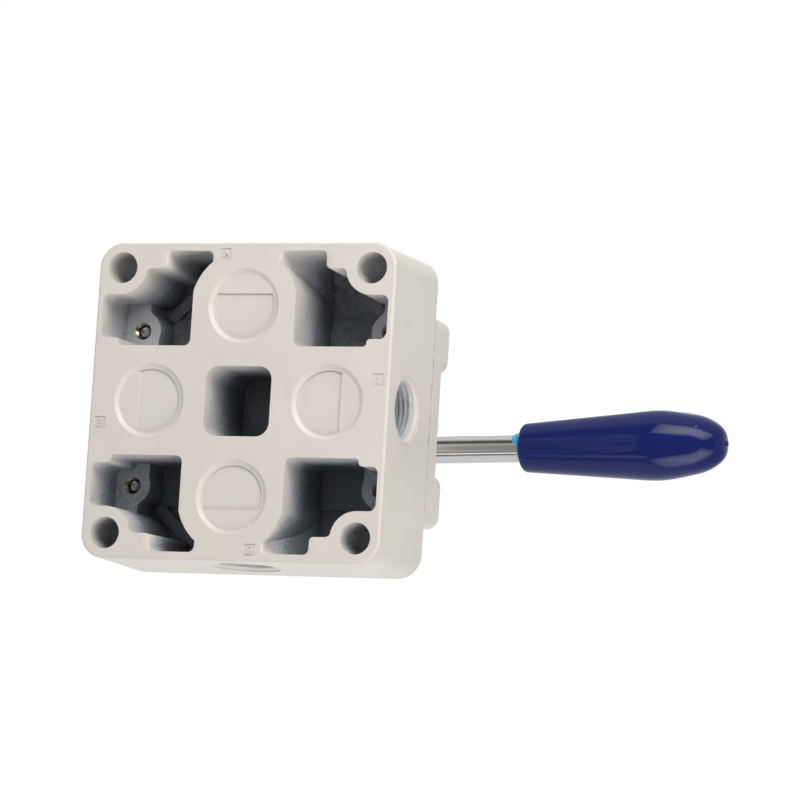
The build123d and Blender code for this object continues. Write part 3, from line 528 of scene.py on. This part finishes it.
def enamel_fading_into_painted_shade(name):
    """The same enamel on a cored casting: in the pockets it fades with depth into a cool, grainy mist and then
    the dark cast skin, sooner on the walls than on faces turned to -Z.
    The fade is partly the spray thinning out and partly painted shade: its darkening and cool tint stand for
    the shade deep in the pockets, and faces turned to -Z stay lighter as painted light from the lamps below.
    The grain is drawn coarser than the grit of a real casting, so that it shows."""
    material, tree, shader, at = new_material(name, IOR=1.5)
    inside, depth = pocket_share(tree, at)
    reach = sizes().paint_and_shade_reach
    spared_and_lit = 0.45 * reach                             # how much less deep a face turned to -Z counts: partly the spray's reach, partly painted light where it looks at the lamps
    slant = 0.13                                      # the coat reaches deeper towards -Y
    wander = 0.5 * reach                              # by which the edge of the spray drifts
    thin_from, thin_to = 0.45 * reach, 1.95 * reach
    grain = add_node(tree, "ShaderNodeTexNoise", {"Vector": at, "Scale": 1 / (1.0 * MM), "Detail": 4.0,
                                                  "Roughness": 0.75})
    drift = add_node(tree, "ShaderNodeTexNoise", {"Vector": at, "Scale": 1 / (7 * MM), "Detail": 2.0})
    normal = add_node(tree, "ShaderNodeNewGeometry").outputs["True Normal"]
    facing = add_node(tree, "ShaderNodeSeparateXYZ", {0: normal}).outputs["Z"]
    facing = add_node(tree, "ShaderNodeMath", {0: facing, 1: 0.0}, operation="MINIMUM")
    side = add_node(tree, "ShaderNodeSeparateXYZ", {0: at}).outputs["Y"]
    deep = add_node(tree, "ShaderNodeMath", {0: facing, 1: spared_and_lit, 2: depth}, operation="MULTIPLY_ADD")
    deep = add_node(tree, "ShaderNodeMath", {0: side, 1: slant, 2: deep}, operation="MULTIPLY_ADD")
    deep = add_node(tree, "ShaderNodeMath", {0: drift, 1: wander, 2: deep}, operation="MULTIPLY_ADD")
    share = add_node(tree, "ShaderNodeMapRange", {"Value": deep, "From Min": thin_from, "From Max": thin_to})
    grainy = add_node(tree, "ShaderNodeMath", {0: grain, 1: 0.9, 2: -0.45}, operation="MULTIPLY_ADD")
    grainy = add_node(tree, "ShaderNodeMath", {0: share, 1: grainy}, operation="ADD")
    # the mist comes first, and only past the pockets' rims; its cool tint is partly painted shade
    mist = add_node(tree, "ShaderNodeMapRange", {"Value": grainy, "From Min": -0.2, "From Max": 0.3},
                    interpolation_type="SMOOTHSTEP")
    begun = add_node(tree, "ShaderNodeMapRange", {"Value": depth, "From Min": 0.5 * MM, "From Max": 7 * MM})
    mist = add_node(tree, "ShaderNodeMath", {0: begun, 1: mist}, operation="MULTIPLY")
    mist = add_node(tree, "ShaderNodeMath", {0: inside, 1: mist}, operation="MULTIPLY")
    # then the cast skin, which also stands as painted shade deep in the pockets
    bare_and_shade = add_node(tree, "ShaderNodeMapRange", {"Value": grainy, "From Min": 0.2, "From Max": 0.78},
                    interpolation_type="SMOOTHSTEP")
    bare_and_shade = add_node(tree, "ShaderNodeMath", {0: inside, 1: bare_and_shade}, operation="MULTIPLY")
    tone = srgb(colours().casting)
    grit = add_node(tree, "ShaderNodeMapRange", {"Value": grain, "From Min": 0.3, "From Max": 0.7})
    cast = add_node(tree, "ShaderNodeMix", {"Factor": grit, "A": shade(tone, 0.85), "B": tone},
                    data_type="RGBA")
    thin = add_node(tree, "ShaderNodeMix", {"Factor": mist, "A": enamel_film(tree, at),
                                            "B": srgb(colours().spray)}, data_type="RGBA")
    coat = add_node(tree, "ShaderNodeMix", {"Factor": bare_and_shade, "A": thin, "B": cast}, data_type="RGBA")
    tree.links.new(coat.outputs["Result"], shader.inputs["Base Color"])
    rough = add_node(tree, "ShaderNodeMapRange", {"Value": bare_and_shade, "To Min": 0.42, "To Max": 0.6})
    tree.links.new(rough.outputs[0], shader.inputs["Roughness"])
    metal = add_node(tree, "ShaderNodeMath", {0: bare_and_shade, 1: 0.2}, operation="MULTIPLY")
    tree.links.new(metal.outputs[0], shader.inputs["Metallic"])
    peel = add_node(tree, "ShaderNodeTexNoise", {"Vector": at, "Scale": 1 / (1.1 * MM)})
    fine = add_node(tree, "ShaderNodeMath", {0: peel, 1: 0.2}, operation="MULTIPLY")
    height = add_node(tree, "ShaderNodeMix", {"Factor": bare_and_shade, "A": fine, "B": grain})
    bump = add_node(tree, "ShaderNodeBump", {"Height": height, "Distance": 0.08 * MM})
    tree.links.new(bump.outputs[0], shader.inputs["Normal"])
    return material


def mottle(tree, shader, share, tone, dark, height, relief):
    """Body colour that drifts to a darker share of its tone, and the relief of the surface."""
    body = add_node(tree, "ShaderNodeMix", {"Factor": share, "A": tone, "B": shade(tone, dark)},
                    data_type="RGBA")
    tree.links.new(body.outputs["Result"], shader.inputs["Base Color"])
    if relief:
        bump = add_node(tree, "ShaderNodeBump", {"Height": height, "Distance": relief})
        tree.links.new(bump.outputs[0], shader.inputs["Normal"])


def worked_metal(name, tone, smooth, rough, grain, stretch=(1, 1, 1), relief=0.0):
    """Plated, ground, drawn, turned, tapped or sintered metal: its reflection is broken by a tone and
    a roughness that drift with the grain, stretched along the way it was worked. The grain is drawn
    coarser than the tool's marks, so that it shows."""
    material, tree, shader, at = new_material(name, Metallic=1.0)
    along = add_node(tree, "ShaderNodeMapping", {"Vector": at, "Scale": stretch})
    drift = add_node(tree, "ShaderNodeTexNoise", {"Vector": along, "Scale": 1 / grain, "Detail": 4.0,
                                                  "Roughness": 0.6})
    spread = add_node(tree, "ShaderNodeMapRange", {"Value": drift, "From Min": 0.35, "From Max": 0.7})
    mottle(tree, shader, spread, srgb(tone), 0.82, drift, relief)
    haze = add_node(tree, "ShaderNodeMapRange", {"Value": drift, "From Min": 0.3, "From Max": 0.7,
                                                 "To Min": smooth, "To Max": rough})
    tree.links.new(haze.outputs[0], shader.inputs["Roughness"])
    return material


def misted_thread(name):
    """Tapped aluminium that caught a mist of the enamel: pale flanks, mottled darker in places."""
    material, tree, shader, at = new_material(name, Roughness=0.45, Metallic=0.35)
    mist = add_node(tree, "ShaderNodeTexNoise", {"Vector": at, "Scale": 1 / (1.5 * MM), "Detail": 4.0,
                                                 "Roughness": 0.6})
    spread = add_node(tree, "ShaderNodeMapRange", {"Value": mist, "From Min": 0.35, "From Max": 0.7})
    mottle(tree, shader, spread, srgb(colours().machined), 0.75, mist, 0.02 * MM)
    return material


def moulded(name, tone, roughness, ior, relief=0.01 * MM):
    """Moulded, calendered or turned polymer: an even body colour under a faint surface grain."""
    material, tree, shader, at = new_material(name, Roughness=roughness, IOR=ior)
    clouds = add_node(tree, "ShaderNodeTexNoise", {"Vector": at, "Scale": 1 / (6 * MM), "Detail": 3.0})
    grain = add_node(tree, "ShaderNodeTexNoise", {"Vector": at, "Scale": 1 / (0.9 * MM)})
    mottle(tree, shader, clouds, srgb(tone), 0.88, grain, relief)
    return material


def gloss_resin(name):
    """Compression-moulded glossy resin: a deep blue under a mirror-like skin, with a slight waviness
    from the mould, long faint handling scuffs and a few pale dust specks. Scuffs and specks are drawn
    larger than they are, so that they show."""
    material, tree, shader, at = new_material(name, IOR=1.5)
    shader.inputs["Specular IOR Level"].default_value = 0.22
    tone = srgb(colours().grip)
    along = add_node(tree, "ShaderNodeMapping", {"Vector": at, "Scale": (0.2, 1.0, 1.0)})
    marks = add_node(tree, "ShaderNodeTexNoise", {"Vector": along, "Scale": 1 / (1.6 * MM), "Detail": 5.0,
                                                  "Roughness": 0.65})
    scuffs = add_node(tree, "ShaderNodeMapRange", {"Value": marks, "From Min": 0.66, "From Max": 0.8})
    faint = add_node(tree, "ShaderNodeMath", {0: scuffs, 1: 0.3}, operation="MULTIPLY")
    body = add_node(tree, "ShaderNodeMix", {"Factor": faint, "A": tone, "B": srgb("4453A8")}, data_type="RGBA")
    dust = specks(tree, at, 3.6 * MM, 0.5 * MM, 0.3)
    body = add_node(tree, "ShaderNodeMix", {"Factor": dust, "A": body, "B": srgb("7080CC")}, data_type="RGBA")
    tree.links.new(body.outputs["Result"], shader.inputs["Base Color"])
    haze = add_node(tree, "ShaderNodeMapRange", {"Value": scuffs, "To Min": 0.06, "To Max": 0.2})
    tree.links.new(haze.outputs[0], shader.inputs["Roughness"])
    wave = add_node(tree, "ShaderNodeTexNoise", {"Vector": at, "Scale": 1 / (8 * MM)})
    bump = add_node(tree, "ShaderNodeBump", {"Height": wave, "Distance": 0.03 * MM})
    tree.links.new(bump.outputs[0], shader.inputs["Normal"])
    return material


def cured_adhesive(name):
    """Cured thread-locking adhesive: bright cyan, glossy, with thick and thin places."""
    material, tree, shader, at = new_material(name, Roughness=0.3, IOR=1.48)
    runs = add_node(tree, "ShaderNodeTexNoise", {"Vector": at, "Scale": 1 / (1.2 * MM), "Detail": 3.0})
    mottle(tree, shader, runs, srgb(colours().thread_lock), 0.55, runs, 0.08 * MM)
    return material


# ---- pieces ----

class VALVE_OT_castings(bpy.types.Operator):
    """Paint and soft edges on the body, cover and hub castings."""

    bl_idname = "valve.castings"
    bl_label = "Castings"

    def execute(self, context):
        # the cored casting's pocket fade is partly painted shade
        cored = enamel_fading_into_painted_shade("satin_enamel_fading_into_cast_skin_and_painted_shade")
        outside = satin_enamel("satin_enamel_on_die_casting")
        for node, material in (("body_casting", cored), ("cover_casting", outside), ("lever_hub", outside)):
            casting = dress(node, material)
            flats = casting.modifiers.new("flats", "DECIMATE")
            flats.decimate_type = "DISSOLVE"
            flats.angle_limit = math.radians(1.0)
            soft = casting.modifiers.new("soft_edges", "BEVEL")
            soft.width = sizes().edge_round
            soft.segments = 3
            soft.limit_method = "ANGLE"
            soft.angle_limit = math.radians(38)
            soft.harden_normals = True
            casting.modifiers.new("even_shading", "WEIGHTED_NORMAL").keep_sharp = True
        return {"FINISHED"}


class VALVE_OT_pocket_details(bpy.types.Operator):
    """Leaning ends of the pockets' horns, solid corners beside them, and the pad in the middle pocket."""

    bl_idname = "valve.pocket_details"
    bl_label = "Pocket details"

    FLOOR = 27.1 * MM                    # how deep the pockets' floors lie
    WALL = 42.95 * MM                    # inner face of the walls that face Y
    LEAN = 0.5 * MM                      # draft: how far a wall has come in at the floor
    BURIED_Y = 44.2 * MM                 # a place inside those walls
    BURIED_X = 28.2 * MM                 # a place inside the solid corner round the mounting hole
    ROOT = 9.2 * MM, 38.2 * MM           # a place inside the casting, beyond the horn's tip
    ALONG = 3 * MM                       # how far each block runs on inside the wall
    TIP, TIP_LEAN = 10.3 * MM, 6.1 * MM  # the horn's end at the mouth, and how far it leans
    BEND = 13.6 * MM, 30.0 * MM          # where the knockout's round wall bends away from the horn,
    SLOPE = 1.86                         # the wall's slope up to there,
    FOOT = 24.0 * MM                     # and where the end wall starts past the bend
    CORNER = 24.2 * MM, 37.83 * MM       # the solid corner's edge at the mouth
    # heights above the mounting face, and how far the outline stands back there: the mouth's edge is eased
    ROWS = ((0.01 * MM, 0.3 * MM), (0.1 * MM, 0.1 * MM), (0.3 * MM, 0.0), (FLOOR, 0.0))

    def execute(self, context):
        self.block("pocket_horn_ends", self.horn_end)
        self.block("pocket_corners", self.corner)
        self.pad()
        return {"FINISHED"}

    def finish(self, name, bm):
        paint = bpy.data.materials["satin_enamel_fading_into_cast_skin_and_painted_shade"]
        finish_piece(name, bm, "valve_body", paint)

    def pad(self):
        """Low round pad on the boss under the rotor's pin."""
        face, radius, high, ease = 26.45 * MM, 6.6 * MM, 0.6 * MM, 0.15 * MM
        bm = bmesh.new()
        lathe(bm, [(face + high, 0), (face + high, radius + ease), (face + ease, radius),
                   (face, radius - 0.2 * MM), (face, 0)], Matrix.Identity(4), 96)
        self.finish("pivot_pad", bm)

    def horn_end(self, back, deep):
        """Drafted core: the end wall leans from the horn's tip at the mouth to the pocket's floor."""
        x = self.TIP + self.TIP_LEAN * deep - back
        wall = self.WALL - self.LEAN * deep + back
        (root_x, root_y), (bend_x, bend_y), hair = self.ROOT, self.BEND, 0.01 * MM
        turn = min(x, bend_x)
        start = self.FOOT if x > turn else bend_y + (bend_x - turn) * self.SLOPE
        return [(root_x, root_y, 0), (turn, start - 5 * hair, 0), (x + hair, start, 0), (x, wall, 2.2 * MM),
                (x + self.ALONG, wall, 0), (x + self.ALONG, self.BURIED_Y, 0), (root_x, self.BURIED_Y, 0)]

    def corner(self, back, deep):
        """The solid corner round the mounting hole reaches further along the wall."""
        x, y = (edge - self.LEAN * deep + back for edge in self.CORNER)
        wall = self.WALL - self.LEAN * deep + back
        return [(self.BURIED_X, y, 0), (x, y, 1.6 * MM), (x, wall, 2.0 * MM), (x - self.ALONG, wall, 0),
                (x - self.ALONG, self.BURIED_Y, 0), (self.BURIED_X, self.BURIED_Y, 0)]

    def block(self, name, outline):
        """The same block in each quarter of the underside."""
        bm = bmesh.new()
        for sx, sy in QUARTERS:
            rings = [[bm.verts.new((sx * p.x, sy * p.y, z)) for p in rounded(outline(back, z / self.FLOOR))]
                     for z, back in self.ROWS]
            skin(bm, rings)
            bm.faces.new(rings[0])
            bm.faces.new(list(reversed(rings[-1])))
        self.finish(name, bm)


class VALVE_OT_boss_threads(bpy.types.Operator):
    """Last turns of the tapped holes, below the tips of the cover screws."""

    bl_idname = "valve.boss_threads"
    bl_label = "Boss threads"

    def execute(self, context):
        tapped = worked_metal("tapped_aluminium", colours().tapped, 0.12, 0.35, 1.5 * MM)
        root, crest, below, above = 2.52 * MM, 2.05 * MM, 1.7 * MM, 0.4 * MM
        bm = bmesh.new()
        for spot in screw_spots():
            place = Matrix.Translation((spot.x, spot.y, SCREW_LOW.z))
            thread_ridge(bm, place, -below, above, sizes().screw_pitch, root, crest, 32)
        finish_piece("boss_threads", bm, "valve_body", tapped)
        return {"FINISHED"}


class VALVE_OT_port_threads(bpy.types.Operator):
    """Cut threads in the four ports."""

    bl_idname = "valve.port_threads"
    bl_label = "Port threads"

    def execute(self, context):
        metal = misted_thread("tapped_aluminium_under_paint_mist")
        for name in ("port_1", "port_2", "port_3", "port_4"):
            port = mount(name)
            way = Vector(port["axis"])
            place = Matrix.Translation(Vector(port["pos_m"])) @ way.to_track_quat("Z", "Y").to_matrix().to_4x4()
            half, root = port["dims"]["length_mm"] * MM / 2, port["dims"]["r_mm"] * MM
            pitch = sizes().port_pitch
            bm = bmesh.new()
            sunk = 0.03 * MM    # the ridge's foot lies in the bore's wall
            thread_ridge(bm, place, -half + pitch / 2, half - pitch / 2, pitch, root + sunk,
                         root - sizes().port_depth, 64)
            finish_piece(name + "_thread", bm, "valve_body", metal)
        return {"FINISHED"}


class VALVE_OT_port_numerals(bpy.types.Operator):
    """Raised numerals 1 to 4 in the square fields beside the ports."""

    bl_idname = "valve.port_numerals"
    bl_label = "Port numerals"

    # strokes as shares of a numeral's height, from its middle
    GLYPHS = {
        "port_1": ((-0.22, 0.28), (0.04, 0.5), (0.04, -0.5)),
        "port_2": ((-0.32, 0.28), (-0.2, 0.45), (0.02, 0.5), (0.24, 0.42), (0.3, 0.22), (0.2, 0.0),
                   (-0.34, -0.5), (0.34, -0.5)),
        "port_3": ((-0.3, 0.42), (-0.02, 0.5), (0.24, 0.4), (0.26, 0.16), (-0.02, 0.03), (0.28, -0.12),
                   (0.28, -0.38), (0.0, -0.5), (-0.32, -0.4)),
        "port_4": ((0.32, -0.2), (-0.36, -0.2), (0.14, 0.5), (0.14, -0.5)),
    }

    def execute(self, context):
        paint = bpy.data.materials["satin_enamel_on_die_casting"]
        # a field's middle from the body's side and beside the port's axis, its floor, and a stroke's height
        inset, shift, floor, step = 3.85 * MM, 6.5 * MM, 0.27 * MM, 0.2 * MM
        for i, (name, glyph) in enumerate(self.GLYPHS.items()):
            turn = Matrix.Rotation(i * math.pi / 2, 4, "Z")
            spot = turn @ Vector((BASE_HALF - inset, -shift, 0))
            bm = bmesh.new()
            points = [Vector((x, -y)) * sizes().numeral for x, y in glyph]
            stroke(bm, points, sizes().stroke, floor - step, floor, Matrix.Translation(spot))
            finish_piece("numeral_" + name, bm, "valve_body", paint)
        return {"FINISHED"}


class VALVE_OT_cover_screws(bpy.types.Operator):
    """Socket head screws with threads, in the cover's ears."""

    bl_idname = "valve.cover_screws"
    bl_label = "Cover screws"

    def execute(self, context):
        zinc = worked_metal("zinc_plated_steel", colours().zinc, 0.18, 0.38, 3 * MM)
        head_h, head_r, shank, hair = 5 * MM, SCREW_HEAD_R, 2.5 * MM, 0.01 * MM
        core, socket = shank - 0.4 * MM, 4 * MM
        seat = SCREW_HIGH.z - head_h
        tip = SCREW_LOW.z - seat
        thread_end = tip + sizes().screw_thread
        bm = bmesh.new()
        for spot in screw_spots():
            place = Matrix.Translation((spot.x, spot.y, seat))
            lathe(bm, [(tip + 0.5 * MM, 0), (tip, core - 0.7 * MM), (tip + 0.6 * MM, core), (thread_end, core),
                       (thread_end + 0.4 * MM, shank - hair), (0, shank - hair), (0, head_r),
                       (head_h - 0.6 * MM, head_r), (head_h - 0.15 * MM, head_r - 0.35 * MM),
                       (head_h, head_r - 0.8 * MM), (head_h, hexagon(socket + 0.25 * MM)),
                       (head_h - 0.15 * MM, hexagon(socket)), (head_h - 2.4 * MM, hexagon(socket)),
                       (head_h - 3.0 * MM, 0)], place, 48)
            thread_ridge(bm, place, tip + 0.6 * MM, thread_end - 0.2 * MM, sizes().screw_pitch,
                         core - 2 * hair, shank - 2 * hair, 32)
        screws = finish_piece("cover_screws_detailed", bm, "valve_body", zinc)
        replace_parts(screws, "cover_screws")
        dress("cover_screw_washers", zinc)
        return {"FINISHED"}


class VALVE_OT_hub_screw(bpy.types.Operator):
    """Screw and washer that hold the lever hub on the spindle, and the rod's set screw."""

    bl_idname = "valve.hub_screw"
    bl_label = "Hub screw"

    def execute(self, context):
        oxide = worked_metal("black_oxide_steel", colours().black_oxide, 0.3, 0.5, 3 * MM, relief=0.01 * MM)
        low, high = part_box("hub_screw")
        head_h, head_r, shank, hair = 6 * MM, (high.x - low.x) / 2, 3 * MM, 0.01 * MM
        seat = high.z - head_h
        core, tip, pitch, socket = shank - 0.5 * MM, low.z - seat, 1.0 * MM, 5 * MM
        bm = bmesh.new()
        place = Matrix.Translation((0, 0, seat))
        lathe(bm, [(tip, 0), (tip, core - 0.5 * MM), (tip + 0.5 * MM, core), (-0.6 * MM, core),
                   (0, shank - hair), (0, head_r), (head_h - 0.7 * MM, head_r),
                   (head_h - 0.2 * MM, head_r - 0.4 * MM), (head_h, head_r - 0.9 * MM),
                   (head_h, hexagon(socket + 0.3 * MM)), (head_h - 0.2 * MM, hexagon(socket)),
                   (head_h - 2.8 * MM, hexagon(socket)), (head_h - 3.6 * MM, 0)], place, 72)
        thread_ridge(bm, place, tip + 0.7 * MM, -0.8 * MM, pitch, core - 2 * hair, shank - 2 * hair, 32)
        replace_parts(finish_piece("hub_screw_detailed", bm, "lever", oxide), "hub_screw")
        dress("rod_set_screw", oxide)
        dress("hub_washer", bpy.data.materials["zinc_plated_steel"])
        return {"FINISHED"}


class VALVE_OT_lever(bpy.types.Operator):
    """Chromed rod, moulded grip with its rounded mouth and gate mark, and the bead of thread lock."""

    bl_idname = "valve.lever"
    bl_label = "Lever"

    TURNED = LEVER_PLACE @ Matrix.Rotation(math.pi / 2, 4, "Y")

    def execute(self, context):
        drawn = (0.08, 1, 1)
        dress("lever_rod", worked_metal("hard_chrome_plate", colours().chrome, 0.05, 0.14, 2 * MM, drawn))
        dress("grip_insert", worked_metal("turned_brass", colours().brass, 0.2, 0.35, 1 * MM))
        self.grip(gloss_resin("compression_moulded_gloss_resin"))
        self.bead(cured_adhesive("cured_thread_lock"))
        return {"FINISHED"}

    def grip(self, resin):
        """Turned outline: a round rim at the mouth, a straight taper, the belly, and a nose of soft curves."""
        mouth, rod, rim, sunk = 49.9 * MM, 4.27 * MM, 1.7 * MM, 3 * MM
        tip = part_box("lever_grip")[1].x / math.cos(REST_TURN) - 0.5 * MM
        taper, taper_end = 0.0803, 84 * MM
        neck = Vector((mouth + rim, 7.53 * MM))
        ease = Vector((taper_end, neck.y + taper * (taper_end - neck.x)))
        belly = Vector((91.5 * MM, 10.6 * MM))
        nose_shares = ((0.56, 0.843), (0.79, 0.683), (0.963, 0.393))    # of the nose's length and the belly
        nose = [belly + Vector((a * (tip - belly.x), (b - 1) * belly.y)) for a, b in nose_shares]
        end = Vector((tip, 0))
        knots = [neck, ease, belly, *nose, end]
        ways = [Vector((1, taper)), Vector((1, taper)), Vector((1, 0))]
        ways += [(knots[i + 1] - knots[i - 1]).normalized() for i in range(3, 6)] + [Vector((0, -1))]
        outline = [(mouth + sunk, rod), (mouth, rod), (mouth, neck.y - rim)]
        outline += [(mouth + rim * (1 - math.cos(a)), neck.y - rim * (1 - math.sin(a)))
                    for a in (math.radians(10 * k) for k in range(1, 9))]
        for p, q, way_p, way_q in zip(knots, knots[1:], ways, ways[1:]):
            third = (q - p).length / 3
            bend = interpolate_bezier(p, p + way_p * third, q - way_q * third, q, 16)
            outline += [(v[0], v[1]) for v in bend[:-1]]
        outline.append((tip, 0))
        bm = bmesh.new()
        lathe(bm, outline, self.TURNED, 96)
        self.gate(bm, tip)
        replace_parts(finish_piece("grip_moulding", bm, "lever", resin), "lever_grip")

    def gate(self, bm, tip):
        """The gate was snapped off, and left a short stub with a broken face."""
        lathe(bm, [(tip - 0.3 * MM, 0), (tip - 0.3 * MM, 0.85 * MM),
                   (tip + 0.3 * MM, lambda a: (0.8 + 0.12 * math.sin(3 * a)) * MM),
                   (tip + 0.48 * MM, lambda a: (0.5 + 0.14 * math.sin(2 * a + 1)) * MM),
                   (tip + 0.35 * MM, 0)], self.TURNED, 24)

    def bead(self, adhesive):
        """Ragged ring, widest on the side where it ran out, thinner below."""
        mouth, rod, steps, across = 50.0 * MM, 4.24 * MM, 120, 7
        thick, tucked = 0.5 * MM, 0.3 * MM    # at the mouth, and how far it starts inside
        widest, wide_half = math.radians(215), 0.75
        bm = bmesh.new()
        rings = []
        for i in range(steps):
            a = 2 * math.pi * i / steps
            away = abs((a - widest + math.pi) % (2 * math.pi) - math.pi)
            share = 0.45 + 0.55 / (1 + math.exp((away - wide_half) * 14)) - 0.05 * away / math.pi
            share += 0.035 * math.sin(3 * a + 1) + 0.025 * math.sin(7 * a) + 0.015 * math.sin(17 * a)
            ring = []
            for k in range(across):
                t = k / (across - 1)
                r = rod + thick * math.sqrt(1 - t * t) * (0.5 + 0.5 * share)
                x = mouth + tucked - (sizes().bead * share + tucked) * t
                ring.append(bm.verts.new(LEVER_PLACE @ Vector((x, r * math.cos(a), r * math.sin(a)))))
            rings.append(ring)
        skin(bm, rings + [rings[0]], closed=False)
        finish_piece("thread_lock_bead", bm, "lever", adhesive)


class VALVE_OT_inner_parts(bpy.types.Operator):
    """Finishes of the gasket, seals, bearings, rotor, spindle, detent and springs."""

    bl_idname = "valve.inner_parts"
    bl_label = "Inner parts"

    def execute(self, context):
        c = colours()
        steel = worked_metal("ground_steel", c.steel, 0.18, 0.3, 1.5 * MM)
        spring = worked_metal("drawn_spring_steel", c.steel, 0.28, 0.42, 1 * MM)
        nitrile = moulded("moulded_nitrile_rubber", c.rubber, 0.55, 1.52)
        finishes = (
            (steel, ("rotor_pivot_pin", "spindle", "detent_plate", "detent_plate_pins")),
            (spring, ("rotor_spring", "detent_spring_1", "detent_spring_2")),
            (worked_metal("polished_bearing_steel", c.chrome, 0.03, 0.07, 2 * MM),
             ("detent_ball_1", "detent_ball_2")),
            (worked_metal("sintered_bronze", c.bronze, 0.35, 0.5, 0.8 * MM, relief=0.02 * MM),
             ("spindle_bush", "thrust_washer")),
            (nitrile, ("port_seal_o_rings", "spindle_o_ring", "spindle_lip_seal")),
            (moulded("calendered_nitrile_sheet", c.rubber, 0.7, 1.52, 0.03 * MM), ("cover_gasket",)),
            (moulded("turned_fluoropolymer", c.ptfe, 0.4, 1.38), ("port_seal_rings",)),
            (moulded("machined_acetal", c.acetal, 0.35, 1.48), ("rotor",)),
        )
        for material, nodes in finishes:
            for node in nodes:
                dress(node, material)
        for number in "12":
            self.press(number)
        return {"FINISHED"}

    def press(self, number):
        """Gives the spring of a detent ball its own copy of its mesh."""
        node, joint = "detent_spring_" + number, "ball_%s_lift" % number
        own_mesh(bpy.data.objects[node])


class VALVE_PT_panel(bpy.types.Panel):
    """Lists the pieces."""

    bl_idname = "VALVE_PT_panel"
    bl_label = "Hand lever air valve"
    bl_space_type = "VIEW_3D"
    bl_region_type = "UI"
    bl_category = "Valve"

    def draw(self, context):
        for operator in OPERATORS:
            self.layout.operator(operator.bl_idname)


OPERATORS = (VALVE_OT_stage, VALVE_OT_castings, VALVE_OT_pocket_details, VALVE_OT_boss_threads,
             VALVE_OT_port_threads, VALVE_OT_port_numerals, VALVE_OT_cover_screws, VALVE_OT_hub_screw,
             VALVE_OT_lever, VALVE_OT_inner_parts)
GROUPS = (("valve_colours", ValveColours), ("valve_sizes", ValveSizes), ("valve_stage", ValveStage))


def register():
    for name, group in GROUPS:
        bpy.utils.register_class(group)
        setattr(bpy.types.Scene, name, bpy.props.PointerProperty(type=group))
    for cls in (*OPERATORS, VALVE_PT_panel):
        bpy.utils.register_class(cls)


def unregister():
    for cls in (VALVE_PT_panel, *reversed(OPERATORS)):
        bpy.utils.unregister_class(cls)
    for name, group in reversed(GROUPS):
        delattr(bpy.types.Scene, name)
        bpy.utils.unregister_class(group)


def main():
    register()
    bpy.ops.valve.stage()
    bpy.ops.valve.castings()
    bpy.ops.valve.pocket_details()
    bpy.ops.valve.boss_threads()
    bpy.ops.valve.port_threads()
    bpy.ops.valve.port_numerals()
    bpy.ops.valve.cover_screws()
    bpy.ops.valve.hub_screw()
    bpy.ops.valve.lever()
    bpy.ops.valve.inner_parts()


if __name__ == "__main__":
    main()
